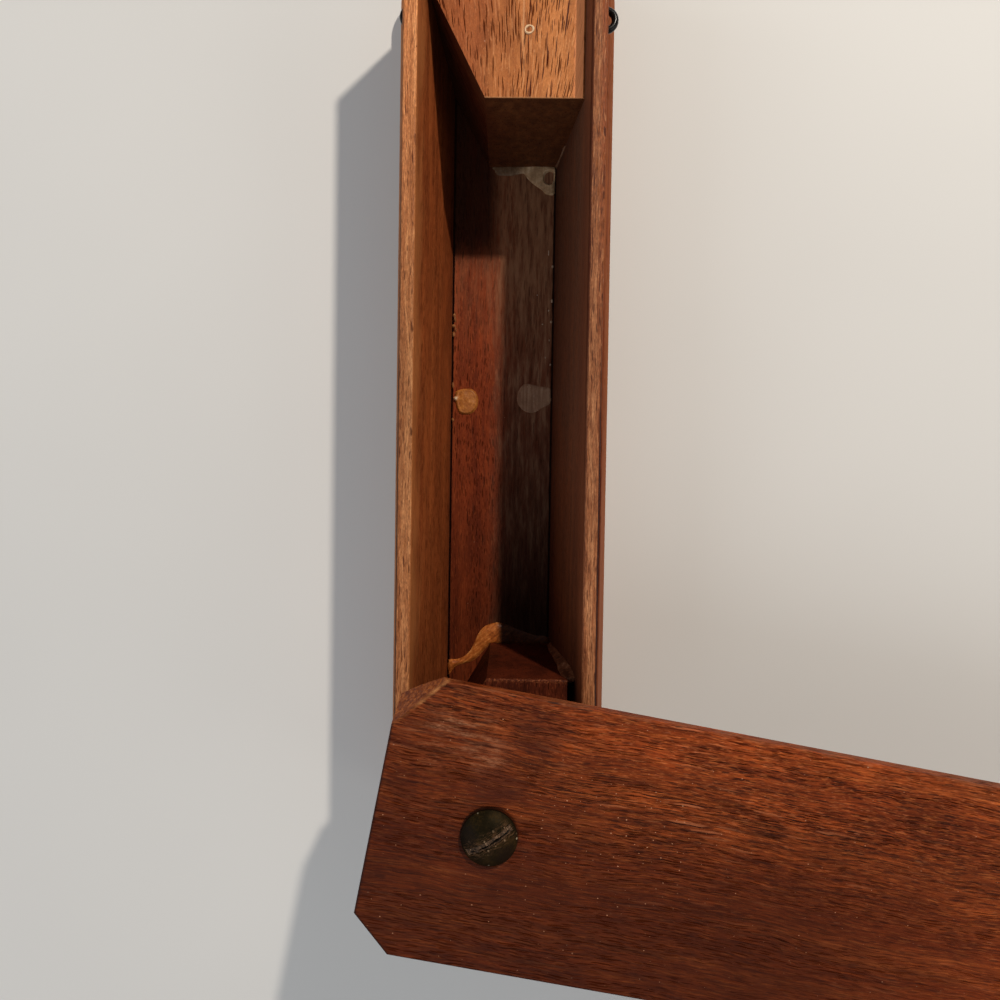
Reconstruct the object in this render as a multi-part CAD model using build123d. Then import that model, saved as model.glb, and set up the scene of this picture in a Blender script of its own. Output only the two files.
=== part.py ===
from build123d import *
import math
import os

# Wooden box call: a trough of two thin leaning sounding walls on a base board,
# an end block at each end, and a paddle lid that swings on a sprung screw.
# Frame: origin at the centre of the base board's bottom face, +Z up,
# +Y towards the front end, +X to the right. The lid stands swung open to the right.

# ---------------------------------------------------------------- base board
BASE_L = 240.0
BASE_W = 60.0
BASE_T = 8.0
BASE_CORNER_R = 10.0
BASE_EDGE_R = 0.7
KERF_W = 0.6              # open seam along the foot of each wall
KERF_D = 0.9

# ---------------------------------------------------------------- side walls
FLOOR_HALF = 14.4         # inner half width at the floor
LIP_IN = 19.4             # inner half width at the lip
LIP_Z = 50.0
WALL_T = 3.55             # measured level, across the lip
WALL_Y = 118.5            # half length of the walls
LIP_OUT_R = 0.8
LIP_IN_R = 0.6
WALL_END_R = 0.5
LEAN = (LIP_IN - FLOOR_HALF) / (LIP_Z - BASE_T)

# ---------------------------------------------------------------- front block
FRONT_Y = 64.3
FRONT_TOP = 43.0
FRONT_LEFT_X = -4.5       # inner left corner
FRONT_SLOPE = 0.51        # sideways per forward millimetre of the angled side
FRONT_SEAM = 0.45         # bevel along the top right edge

# ---------------------------------------------------------------- pivot block
PIVOT_FACE_Y = -70.3
PIVOT_TOP = 45.0
PIVOT_LEFT_X = -2.1
PIVOT_SLOPE = 0.577
PIVOT_RIGHT_TOP_X = 16.7

# ---------------------------------------------------------------- pivot
PIVOT_X = -0.4
PIVOT_Y = -95.9
SHANK_R = 2.4
PILOT_R = 2.45
SCREW_TIP_Z = 19.0
HEAD_R = 5.7
HEAD_H = 3.1
HEAD_RIM = 0.6
SLOT_W = 1.4
SLOT_D = 2.0
SLOT_DEG = 31.0
HEAD_GAP = 0.5
SPRING_R = 3.95           # mean radius
SPRING_WIRE_R = 0.55
SPRING_TURNS = 4.0
SPRING_BORE_R = 5.2
SPRING_BORE_D = 6.0
WASHER_R = 6.0
WASHER_HOLE_R = 2.75
WASHER_T = 1.0
WASHER_GAP = 0.5
SPRING_GAP = 0.3

# ---------------------------------------------------------------- paddle lid
LID_OPEN_DEG = 99.4       # clockwise from the closed position, seen from above
LID_HALF = 28.8           # at the heel
LID_TAPER = 0.0106        # each long edge draws in towards the handle, per millimetre
LID_HEEL = 23.85          # behind the pivot
HEEL_SKEW = 0.019         # the heel is cut a little out of square
LID_SIDE = -0.65          # centre line of the lid beside the pivot
LID_GAP = 0.3             # ridge above the lips
LID_TOP = 67.0
LID_EDGE = 2.0            # thickness along the long edges
LID_BODY = 198.0          # ahead of the pivot
LID_TIP = 270.0
HANDLE_HALF = 13.0
HANDLE_Y = 224.0
HANDLE_EDGE_R = 2.0       # rounding along the handle's underside
HEEL_RELIEF = 2.0
HEEL_RELIEF_FROM = 8.0
LID_HOLE_R = 3.3
LID_EDGE_R = 0.5
HEEL_LEFT_ALONG = 9.9
HEEL_LEFT_ACROSS = 11.4
HEEL_RIGHT_ALONG = 7.8
HEEL_RIGHT_ACROSS = 6.9
HEEL_LEFT_LEAN = 14.0     # degrees, the left corner cut leans out towards the underside

# ---------------------------------------------------------------- screw eyes
EYE_RING_R = 2.4
EYE_WIRE_R = 0.85
EYE_SHANK_R = 0.95
EYE_SHANK_L = 12.0
RIGHT_EYE_Y = 88.7
RIGHT_EYE_Z = 32.9
LEFT_EYE_Y = 92.2
LEFT_EYE_Z = 28.4

os.makedirs("parts", exist_ok=True)


def prism(points, z0, z1):
    """Upright prism over a plan outline."""
    f = make_face(Polyline(*[(x, y) for x, y in points], close=True))
    return Pos(0, 0, z0) * extrude(f, amount=z1 - z0)


def along_y(points, y0, y1):
    """Prism with an outline in the XZ plane, running from y0 to y1."""
    f = make_face(Polyline(*[(x, z) for x, z in points], close=True))
    plane = Plane(origin=(0, y0, 0), x_dir=(1, 0, 0), z_dir=(0, -1, 0))
    return extrude(plane * f, amount=-(y1 - y0))


def wall_in(z):
    return FLOOR_HALF + (z - BASE_T) * LEAN


def wall_out(z):
    return wall_in(z) + WALL_T


def edges_where(shape, test):
    return [e for e in shape.edges() if test(e)]


# ================================================================ base board
base = extrude(RectangleRounded(BASE_W, BASE_L, BASE_CORNER_R), amount=BASE_T)
base = fillet(base.faces().sort_by(Axis.Z)[-1].edges(), BASE_EDGE_R)
base = fillet(base.faces().sort_by(Axis.Z)[0].edges(), BASE_EDGE_R)
for s in (-1, 1):
    kerf = Pos(s * (FLOOR_HALF - KERF_W / 2 + 0.05), 0, BASE_T) * Box(KERF_W, 2 * WALL_Y - 8, 2 * KERF_D)
    base = base - kerf

# ================================================================ side walls
EYE_HOLE_R = EYE_SHANK_R + 0.05


def eye_centre(side):
    y = RIGHT_EYE_Y if side > 0 else LEFT_EYE_Y
    z = RIGHT_EYE_Z if side > 0 else LEFT_EYE_Z
    x = side * (wall_out(z) + EYE_RING_R + EYE_WIRE_R + 0.05)
    return x, y, z


def eye_bore(side):
    x, y, z = eye_centre(side)
    length = EYE_SHANK_L + 4.0
    mid = x - side * (EYE_RING_R + length / 2)
    return Pos(mid, y, z) * Rot(0, 90, 0) * Cylinder(EYE_HOLE_R, length)


def make_wall(side):
    w = along_y([(side * FLOOR_HALF, BASE_T), (side * (FLOOR_HALF + WALL_T), BASE_T),
                 (side * (LIP_IN + WALL_T), LIP_Z), (side * LIP_IN, LIP_Z)], -WALL_Y, WALL_Y)
    top = edges_where(w, lambda e: e.length > 200 and e.center().Z > LIP_Z - 0.1)
    outer = [e for e in top if abs(e.center().X) > LIP_IN + WALL_T / 2]
    w = fillet(outer, LIP_OUT_R)
    inner = edges_where(w, lambda e: e.length > 200 and abs(e.center().Z - LIP_Z) < 0.01
                        and abs(abs(e.center().X) - LIP_IN) < 0.05)
    w = fillet(inner, LIP_IN_R)
    return w - eye_bore(side)


left_wall = make_wall(-1)
right_wall = make_wall(1)

# ================================================================ front block
front = along_y([(-FLOOR_HALF, BASE_T), (FLOOR_HALF, BASE_T),
                 (wall_in(FRONT_TOP), FRONT_TOP), (-wall_in(FRONT_TOP), FRONT_TOP)], FRONT_Y, WALL_Y)
front = front - prism([(FRONT_LEFT_X, FRONT_Y), (FRONT_LEFT_X + 1.0 * FRONT_SLOPE, FRONT_Y - 1.0),
                       (-40, FRONT_Y - 1.0), (-40, FRONT_Y + (40 + FRONT_LEFT_X) / FRONT_SLOPE)],
                      0, 60)
right_top = edges_where(front, lambda e: abs(e.center().Z - FRONT_TOP) < 0.01
                        and e.center().X > wall_in(FRONT_TOP) - 0.1 and e.length > 30)
front = chamfer(right_top, FRONT_SEAM)
face_top = edges_where(front, lambda e: abs(e.center().Z - FRONT_TOP) < 0.01
                       and abs(e.center().Y - FRONT_Y) < 0.01)
front = fillet(face_top, 0.35)
front = front - eye_bore(1) - eye_bore(-1)

# ================================================================ pivot block
pivot = along_y([(-FLOOR_HALF, BASE_T), (FLOOR_HALF, BASE_T),
                 (PIVOT_RIGHT_TOP_X, PIVOT_TOP), (-wall_in(PIVOT_TOP), PIVOT_TOP)], -WALL_Y, PIVOT_FACE_Y)
pivot = pivot - prism([(PIVOT_LEFT_X, PIVOT_FACE_Y), (PIVOT_LEFT_X + PIVOT_SLOPE, PIVOT_FACE_Y + 1.0),
                       (-40, PIVOT_FACE_Y + 1.0), (-40, PIVOT_FACE_Y - (40 + PIVOT_LEFT_X) / PIVOT_SLOPE)],
                      0, 60)
pivot_face_top = edges_where(pivot, lambda e: abs(e.center().Z - PIVOT_TOP) < 0.01
                             and abs(e.center().Y - PIVOT_FACE_Y) < 0.01)
pivot = fillet(pivot_face_top, 0.35)
pivot = pivot - Pos(PIVOT_X, PIVOT_Y, PIVOT_TOP - SPRING_BORE_D / 2) * Cylinder(SPRING_BORE_R, SPRING_BORE_D)
pilot_bottom = SCREW_TIP_Z - 1.0
pivot = pivot - Pos(PIVOT_X, PIVOT_Y, (PIVOT_TOP + pilot_bottom) / 2) * Cylinder(PILOT_R, PIVOT_TOP - pilot_bottom)

# ================================================================ paddle lid
# Made closed, along +Y from the pivot, then swung open.
ridge_z = LIP_Z + LID_GAP
sag = (LID_TOP - ridge_z) - LID_EDGE
under_r = (LID_HALF ** 2 + sag ** 2) / (2 * sag)
cz = ridge_z + under_r
section = make_face([
    Line((-LID_HALF, LID_TOP), (LID_HALF, LID_TOP)),
    Line((LID_HALF, LID_TOP), (LID_HALF, LID_TOP - LID_EDGE)),
    ThreePointArc((LID_HALF, LID_TOP - LID_EDGE), (0, ridge_z), (-LID_HALF, LID_TOP - LID_EDGE)),
    Line((-LID_HALF, LID_TOP - LID_EDGE), (-LID_HALF, LID_TOP)),
])
sec_plane = Plane(origin=(0, -LID_HEEL - 2, 0), x_dir=(1, 0, 0), z_dir=(0, -1, 0))
blank = extrude(sec_plane * section, amount=-(LID_HEEL + LID_TIP + 4))

# plan outline: slightly tapered body, hollow shoulders, straight handle with a round end
neck_y = HANDLE_Y
heel_left = (-LID_HALF, -LID_HEEL + HEEL_SKEW * LID_HALF)
heel_right = (LID_HALF, -LID_HEEL - HEEL_SKEW * LID_HALF)
BODY_HALF = LID_HALF - LID_TAPER * (LID_BODY + LID_HEEL)
outline = make_face([
    Line(heel_left, heel_right),
    Line(heel_right, (BODY_HALF, LID_BODY)),
    ThreePointArc((BODY_HALF, LID_BODY), (HANDLE_HALF + 4.2, LID_BODY + 10.5), (HANDLE_HALF, neck_y)),
    Line((HANDLE_HALF, neck_y), (HANDLE_HALF, LID_TIP - HANDLE_HALF)),
    ThreePointArc((HANDLE_HALF, LID_TIP - HANDLE_HALF), (0, LID_TIP), (-HANDLE_HALF, LID_TIP - HANDLE_HALF)),
    Line((-HANDLE_HALF, LID_TIP - HANDLE_HALF), (-HANDLE_HALF, neck_y)),
    ThreePointArc((-HANDLE_HALF, neck_y), (-HANDLE_HALF - 4.2, LID_BODY + 10.5), (-BODY_HALF, LID_BODY)),
    Line((-BODY_HALF, LID_BODY), heel_left),
])
lid = blank & (Pos(0, 0, ridge_z - 5) * extrude(outline, amount=LID_TOP - ridge_z + 10))

# underside of the heel falls away so that the handle can be lifted
relief_face = make_face(Polyline((-HEEL_RELIEF_FROM, ridge_z - 6), (-HEEL_RELIEF_FROM, ridge_z),
                                 (-LID_HEEL - 3, ridge_z + HEEL_RELIEF * (LID_HEEL + 3 - HEEL_RELIEF_FROM)
                                  / (LID_HEEL - HEEL_RELIEF_FROM)),
                                 (-LID_HEEL - 3, ridge_z - 6), close=True))
yz = Plane(origin=(-40, 0, 0), x_dir=(0, 1, 0), z_dir=(1, 0, 0))
lid = lid - extrude(yz * relief_face, amount=80)

# the handle is thinned from below
hand_face = make_face([
    Line((LID_BODY - 6, ridge_z - 6), (LID_BODY - 6, ridge_z)),
    Spline((LID_BODY - 6, ridge_z), (HANDLE_Y + 8, ridge_z + 6.0), tangents=((1, 0), (1, 0.03))),
    Line((HANDLE_Y + 8, ridge_z + 6.0), (LID_TIP + 4, ridge_z + 6.0 + 0.03 * (LID_TIP - 4 - HANDLE_Y))),
    Line((LID_TIP + 4, ridge_z + 6.0 + 0.03 * (LID_TIP - 4 - HANDLE_Y)), (LID_TIP + 4, ridge_z - 6)),
    Line((LID_TIP + 4, ridge_z - 6), (LID_BODY - 6, ridge_z - 6)),
])
lid = lid - extrude(yz * hand_face, amount=80)


def corner_cut(side, along, across, lean):
    """Wedge that takes off one heel corner; lean tips its face outwards towards the underside."""
    a = Vector(side * (LID_HALF - across), -LID_HEEL, LID_TOP)
    b = Vector(side * LID_HALF, -LID_HEEL + along, LID_TOP)
    mid = (a + b) * 0.5
    u = (b - a).normalized()
    out = Vector(u.Y, -u.X, 0)
    if out.dot(Vector(side, -1, 0)) < 0:
        out = out * -1
    t = math.radians(lean)
    normal = out * math.cos(t) + Vector(0, 0, 1) * math.sin(t)
    plane = Plane(origin=(mid.X, mid.Y, mid.Z), x_dir=(u.X, u.Y, u.Z), z_dir=(normal.X, normal.Y, normal.Z))
    return extrude(plane * Rectangle(80, 80), amount=40)


lid = lid - corner_cut(-1, HEEL_LEFT_ALONG, HEEL_LEFT_ACROSS, HEEL_LEFT_LEAN)
lid = lid - corner_cut(1, HEEL_RIGHT_ALONG, HEEL_RIGHT_ACROSS, 0.0)
lid = Pos(LID_SIDE, 0, 0) * lid
lid = lid - Pos(0, 0, (ridge_z + LID_TOP) / 2) * Cylinder(LID_HOLE_R, 40)
hand = [e for e in lid.edges() if e.center().Y > HANDLE_Y + 8.5 and e.center().Z < ridge_z + 9
        and abs((e @ 0).Z - (e @ 1).Z) < 4]
lid = fillet(hand, HANDLE_EDGE_R)
rim = [e for e in lid.faces().sort_by(Axis.Z)[-1].outer_wire().edges()]
lid = fillet(rim, LID_EDGE_R)
lid = Pos(PIVOT_X, PIVOT_Y, 0) * Rot(0, 0, -LID_OPEN_DEG) * lid

# ================================================================ pivot screw
head_z = LID_TOP + HEAD_GAP
screw_profile = make_face([
    Line((0, head_z + HEAD_H), (0, SCREW_TIP_Z)),
    Line((0, SCREW_TIP_Z), (0.3, SCREW_TIP_Z)),
    Line((0.3, SCREW_TIP_Z), (SHANK_R, SCREW_TIP_Z + 4.0)),
    Line((SHANK_R, SCREW_TIP_Z + 4.0), (SHANK_R, head_z)),
    Line((SHANK_R, head_z), (HEAD_R, head_z)),
    Line((HEAD_R, head_z), (HEAD_R, head_z + HEAD_RIM)),
    ThreePointArc((HEAD_R, head_z + HEAD_RIM), (HEAD_R * 0.72, head_z + HEAD_RIM + (HEAD_H - HEAD_RIM) * 0.53),
                  (0, head_z + HEAD_H)),
])
screw = revolve(Plane.XZ * screw_profile, axis=Axis.Z)
screw = Pos(PIVOT_X, PIVOT_Y, 0) * screw
slot = Pos(PIVOT_X, PIVOT_Y, head_z + HEAD_H - SLOT_D / 2 + 1.0) * Rot(0, 0, SLOT_DEG) * Box(3 * HEAD_R, SLOT_W, SLOT_D + 2.0)
screw = screw - slot

# ================================================================ spring and washer
washer_top = ridge_z - WASHER_GAP
washer_bottom = washer_top - WASHER_T
washer = Pos(PIVOT_X, PIVOT_Y, (washer_top + washer_bottom) / 2) * (Cylinder(WASHER_R, WASHER_T) - Cylinder(WASHER_HOLE_R, 3 * WASHER_T))
washer = chamfer(washer.edges().filter_by(GeomType.CIRCLE).group_by(SortBy.RADIUS)[-1], 0.2)

spring_lo = PIVOT_TOP - SPRING_BORE_D + SPRING_WIRE_R + 0.02
spring_hi = washer_bottom - SPRING_GAP - SPRING_WIRE_R
helix = Helix(pitch=(spring_hi - spring_lo) / SPRING_TURNS, height=spring_hi - spring_lo, radius=SPRING_R)
start = Plane(origin=helix @ 0, z_dir=helix % 0)
spring = Pos(PIVOT_X, PIVOT_Y, spring_lo) * sweep(start * Circle(SPRING_WIRE_R), path=helix, is_frenet=True)


# ================================================================ screw eyes
def make_eye(side):
    x, y, z = eye_centre(side)
    ring = Pos(x, y, z) * Torus(EYE_RING_R, EYE_WIRE_R)
    shank_mid = x - side * (EYE_RING_R + EYE_SHANK_L / 2)
    shank = Pos(shank_mid, y, z) * Rot(0, 90, 0) * Cylinder(EYE_SHANK_R, EYE_SHANK_L)
    tip = Pos(x - side * (EYE_RING_R + EYE_SHANK_L + 0.9), y, z) * Rot(0, -90 * side, 0) * Cone(EYE_SHANK_R, 0.15, 1.8)
    return ring + shank + tip


left_eye = make_eye(-1)
right_eye = make_eye(1)

# ================================================================ glue
def pool(points, h, edge):
    """Low pool of glue on the floor with a smooth outline and a rounded rim."""
    f = make_face(Spline(*points, periodic=True))
    d = Pos(0, 0, BASE_T) * extrude(f, amount=h)
    return fillet(d.faces().sort_by(Axis.Z)[-1].edges(), edge)


left_dab = pool([(-12.85, 1.2), (-10.4, 1.8), (-8.3, 1.7), (-6.9, 0.2), (-6.65, -1.5), (-7.25, -3.7), (-9.7, -5.3),
                 (-11.9, -4.9), (-13.0, -3.0), (-13.3, -0.9)], 1.0, 0.4)
right_dab = pool([(4.35, -0.9), (4.8, 1.5), (6.8, 3.4), (8.9, 3.2), (11.3, 2.7), (13.0, 2.2), (13.6, 0.4),
                  (13.3, -1.7), (12.0, -2.7), (10.1, -3.9), (8.1, -4.5), (6.1, -3.9), (4.85, -2.5)], 0.8, 0.4)

bead_outline = [(-13.7, -75.6), (-11.4, -75.1), (-9.4, -74.2), (-7.9, -72.6), (-6.9, -70.8), (-6.3, -69.2), (-5.6, -67.7),
                (-4.6, -66.3), (-3.4, -65.4), (-1.8, -64.8), (0.1, -64.6), (2.6, -65.2), (6.5, -66.6), (10.5, -67.9), (13.5, -68.4),
                (13.5, PIVOT_FACE_Y), (PIVOT_LEFT_X, PIVOT_FACE_Y), (PIVOT_LEFT_X - 2.2 * PIVOT_SLOPE, PIVOT_FACE_Y - 2.2),
                (-4.8, -72.9), (-6.2, -74.8), (-7.8, -75.9), (-9.6, -76.5), (-11.4, -77.0), (-12.6, -77.9), (-13.7, -78.4)]
glue_bead = prism(bead_outline, BASE_T, BASE_T + 1.5)

patch = prism([(-2.4, FRONT_Y), (-2.9, 63.2), (-2.1, 62.0), (1.7, 61.9), (4.6, 62.7), (5.9, 61.6), (7.3, 60.2), (8.9, 59.0), (10.5, 58.0),
               (11.4, 57.0), (12.6, 56.7), (13.7, 57.0), (13.7, FRONT_Y)], BASE_T, BASE_T + 0.7)
patch = patch - Pos(12.1, 61.4, BASE_T) * Cylinder(1.4, 4)

# ================================================================ write the nodes
NODES = {
    "base_board": base,
    "left_side_wall": left_wall,
    "right_side_wall": right_wall,
    "front_end_block": front,
    "pivot_end_block": pivot,
    "paddle_lid": lid,
    "pivot_screw": screw,
    "pivot_spring": spring,
    "spring_washer": washer,
    "left_screw_eye": left_eye,
    "right_screw_eye": right_eye,
    "left_glue_dab": left_dab,
    "right_glue_dab": right_dab,
    "pivot_block_glue_bead": glue_bead,
    "front_block_glue_patch": patch,
}
for name, shape in NODES.items():
    export_step(shape, f"parts/{name}.step")
    print(name, round(shape.volume, 1))
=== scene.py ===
import math

import bpy
from mathutils import Matrix, Vector, noise as mnoise


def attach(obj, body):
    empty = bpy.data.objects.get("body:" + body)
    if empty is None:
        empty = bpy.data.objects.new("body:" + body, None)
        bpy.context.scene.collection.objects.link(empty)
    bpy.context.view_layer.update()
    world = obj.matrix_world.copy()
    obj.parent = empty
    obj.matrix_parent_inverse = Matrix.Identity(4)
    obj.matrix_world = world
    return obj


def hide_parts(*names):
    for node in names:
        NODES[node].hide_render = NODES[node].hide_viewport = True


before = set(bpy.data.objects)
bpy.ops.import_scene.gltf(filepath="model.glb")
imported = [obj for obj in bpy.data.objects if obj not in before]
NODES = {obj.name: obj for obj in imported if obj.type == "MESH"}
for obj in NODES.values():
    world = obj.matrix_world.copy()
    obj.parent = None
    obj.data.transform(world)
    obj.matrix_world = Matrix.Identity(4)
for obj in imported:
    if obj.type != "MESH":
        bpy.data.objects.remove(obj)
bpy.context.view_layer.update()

scene = bpy.context.scene
scene.view_settings.view_transform = "Standard"
scene.view_settings.look = "None"

# ------------------------------------------------------------------ the object's own measures, mm
PIVOT = (-0.4, -95.9)
LID_DEG = -99.4
LID_HALF = 28.8
LID_TAPER = 0.0106
LID_SIDE = -0.65
LID_HEEL = 23.85
HEEL_SKEW = 0.019
HEEL_LEFT = (9.9, 11.4)
HEEL_RIGHT = (7.8, 6.9)
WALL_T = 3.55
LID_TOP = 67.0
FLOOR_Z = 8.0
FLOOR_HALF = 14.4
LIP_IN = 19.4
LIP_Z = 50.0
LEAN = (LIP_IN - FLOOR_HALF) / (LIP_Z - FLOOR_Z)
FRONT_Y = 64.3
FRONT_TOP = 43.0
PIVOT_FACE_Y = -70.3
PIVOT_TOP = 45.0
SLOT_DEG = 31.0
MM = 0.001


# ================================================================== node tree helper
class Tree:
    """Short names for building a node material. Positions are in millimetres."""

    def __init__(self, name):
        self.mat = bpy.data.materials.new(name)
        self.mat.use_nodes = True
        self.nt = self.mat.node_tree
        self.nt.nodes.clear()
        self.out = self.nt.nodes.new("ShaderNodeOutputMaterial")
        self.bsdf = self.nt.nodes.new("ShaderNodeBsdfPrincipled")
        self.nt.links.new(self.bsdf.outputs[0], self.out.inputs[0])

    def new(self, kind, **props):
        n = self.nt.nodes.new(kind)
        for k, v in props.items():
            setattr(n, k, v)
        return n

    def put(self, socket, value):
        if isinstance(value, bpy.types.NodeSocket):
            self.nt.links.new(value, socket)
        elif value is not None:
            socket.default_value = value

    def position(self, rot_deg=0.0, origin=(0.0, 0.0, 0.0)):
        """Position in the piece's own axes, in millimetres."""
        co = self.new("ShaderNodeTexCoord")
        m = self.new("ShaderNodeMapping", vector_type="TEXTURE")
        self.put(m.inputs["Vector"], co.outputs["Object"])
        m.inputs["Location"].default_value = (origin[0] * MM, origin[1] * MM, origin[2] * MM)
        m.inputs["Rotation"].default_value = (0, 0, math.radians(rot_deg))
        m.inputs["Scale"].default_value = (MM, MM, MM)
        return m.outputs[0]

    def scaled(self, vec, scale, loc=(0, 0, 0), rot=(0, 0, 0)):
        m = self.new("ShaderNodeMapping", vector_type="POINT")
        self.put(m.inputs["Vector"], vec)
        m.inputs["Location"].default_value = loc
        m.inputs["Rotation"].default_value = rot
        m.inputs["Scale"].default_value = scale
        return m.outputs[0]

    def xyz(self, vec):
        s = self.new("ShaderNodeSeparateXYZ")
        self.put(s.inputs[0], vec)
        return s.outputs[0], s.outputs[1], s.outputs[2]

    def pack(self, x, y, z):
        c = self.new("ShaderNodeCombineXYZ")
        self.put(c.inputs[0], x); self.put(c.inputs[1], y); self.put(c.inputs[2], z)
        return c.outputs[0]

    def normal(self, rot_deg=0.0):
        """Surface direction in the piece's own axes."""
        co = self.new("ShaderNodeTexCoord")
        x, y, z = self.xyz(co.outputs["Normal"])
        if rot_deg:
            a = math.radians(-rot_deg)
            c, s = math.cos(a), math.sin(a)
            return (self.m("ADD", self.m("MULTIPLY", x, c), self.m("MULTIPLY", y, -s)),
                    self.m("ADD", self.m("MULTIPLY", x, s), self.m("MULTIPLY", y, c)), z)
        return x, y, z

    def m(self, op, a, b=None, c=None, clamp=False):
        n = self.new("ShaderNodeMath", operation=op, use_clamp=clamp)
        self.put(n.inputs[0], a)
        if b is not None:
            self.put(n.inputs[1], b)
        if c is not None:
            self.put(n.inputs[2], c)
        return n.outputs[0]

    def step(self, v, a, b, lo=0.0, hi=1.0):
        n = self.new("ShaderNodeMapRange", interpolation_type="SMOOTHSTEP", clamp=True)
        self.put(n.inputs[0], v)
        n.inputs[1].default_value = a
        n.inputs[2].default_value = b
        n.inputs[3].default_value = lo
        n.inputs[4].default_value = hi
        return n.outputs[0]

    def lin(self, v, a, b, lo=0.0, hi=1.0):
        n = self.new("ShaderNodeMapRange", interpolation_type="LINEAR", clamp=True)
        self.put(n.inputs[0], v)
        n.inputs[1].default_value = a
        n.inputs[2].default_value = b
        n.inputs[3].default_value = lo
        n.inputs[4].default_value = hi
        return n.outputs[0]

    def noise(self, vec, scale=1.0, detail=2.0, rough=0.5, distort=0.0):
        n = self.new("ShaderNodeTexNoise")
        self.put(n.inputs["Vector"], vec)
        n.inputs["Scale"].default_value = scale
        n.inputs["Detail"].default_value = detail
        n.inputs["Roughness"].default_value = rough
        n.inputs["Distortion"].default_value = distort
        return n.outputs["Fac"]

    def cells(self, vec, rand=1.0, flat=False):
        v = self.new("ShaderNodeTexVoronoi", feature="F1", voronoi_dimensions="2D" if flat else "3D")
        self.put(v.inputs["Vector"], vec)
        v.inputs["Scale"].default_value = 1.0
        v.inputs["Randomness"].default_value = rand
        s = self.new("ShaderNodeSeparateColor")
        self.put(s.inputs[0], v.outputs["Color"])
        return v.outputs["Distance"], s.outputs[0], s.outputs[1]

    def ramp(self, fac, stops):
        r = self.new("ShaderNodeValToRGB")
        self.put(r.inputs[0], fac)
        e = r.color_ramp.elements
        e[0].position, e[0].color = stops[0][0], (*stops[0][1], 1)
        e[1].position, e[1].color = stops[-1][0], (*stops[-1][1], 1)
        for p, c in stops[1:-1]:
            k = e.new(p)
            k.color = (*c, 1)
        return r.outputs[0]

    def mix(self, fac, a, b, blend="MIX"):
        n = self.new("ShaderNodeMix", data_type="RGBA", blend_type=blend, clamp_factor=True)
        self.put(n.inputs[0], fac)
        for s, v in ((n.inputs[6], a), (n.inputs[7], b)):
            if isinstance(v, tuple):
                s.default_value = (*v, 1)
            else:
                self.put(s, v)
        return n.outputs[2]

    def bump(self, height, strength, dist_mm, normal=None):
        b = self.new("ShaderNodeBump")
        b.inputs["Strength"].default_value = strength
        b.inputs["Distance"].default_value = dist_mm * MM
        self.put(b.inputs["Height"], height)
        if normal is not None:
            self.put(b.inputs["Normal"], normal)
        return b.outputs[0]


def srgb(r, g, b):
    """Linear colour from a display colour on 0..255."""
    out = []
    for v in (r, g, b):
        v /= 255.0
        out.append(v / 12.92 if v <= 0.04045 else ((v + 0.055) / 1.055) ** 2.4)
    return tuple(out)


# ================================================================== wood
def gain(t, col, v, lo, hi, a=0.3, b=0.7):
    """Brighten or darken a colour by a pattern."""
    return t.mix(1.0, col, t.lin(v, a, b, lo, hi), "MULTIPLY")


def blob(t, x, y, cx, cy, rx, ry, jag=None, rough=0.5):
    """Soft-edged round area, 1 in its middle."""
    dx = t.m("DIVIDE", t.m("SUBTRACT", x, cx), rx)
    dy = t.m("DIVIDE", t.m("SUBTRACT", y, cy), ry)
    r = t.m("SQRT", t.m("ADD", t.m("MULTIPLY", dx, dx), t.m("MULTIPLY", dy, dy)))
    if jag is not None:
        r = t.m("MULTIPLY_ADD", t.m("SUBTRACT", jag, 0.5), rough * 2.0, r)
    return t.step(r, 0.35, 1.05, 1.0, 0.0)


def dashes(t, U, Y, w, l, r0, r1, off, power=1.0, keep=0.55):
    """Short open pores lying along Y: w and l are the spacing across and along the grain."""
    v = t.pack(t.m("MULTIPLY_ADD", U, 1 / w, off[0]), t.m("MULTIPLY_ADD", Y, 1 / l, off[1]), 0.0)
    d, a, b = t.cells(v, flat=True)
    rr = t.lin(t.m("POWER", a, power) if power != 1.0 else a, 0.0, 1.0, r0, r1)
    return t.m("MULTIPLY", t.step(t.m("DIVIDE", d, rr), 0.72, 1.05, 1.0, 0.0), t.lin(b, 0, 1, keep, 1.0))


def dust(t, x, y, sx, sy, big, off):
    """Tiny specks of uneven size, scattered over a level surface."""
    d, r, s = t.cells(t.pack(t.m("MULTIPLY_ADD", x, sx, off[0]), t.m("MULTIPLY_ADD", y, sy, off[1]), 0.0), flat=True)
    return t.step(t.m("DIVIDE", d, t.lin(t.m("POWER", r, 3.0), 0, 1, 0.004, big)), 0.6, 1.0, 1.0, 0.0)


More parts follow.
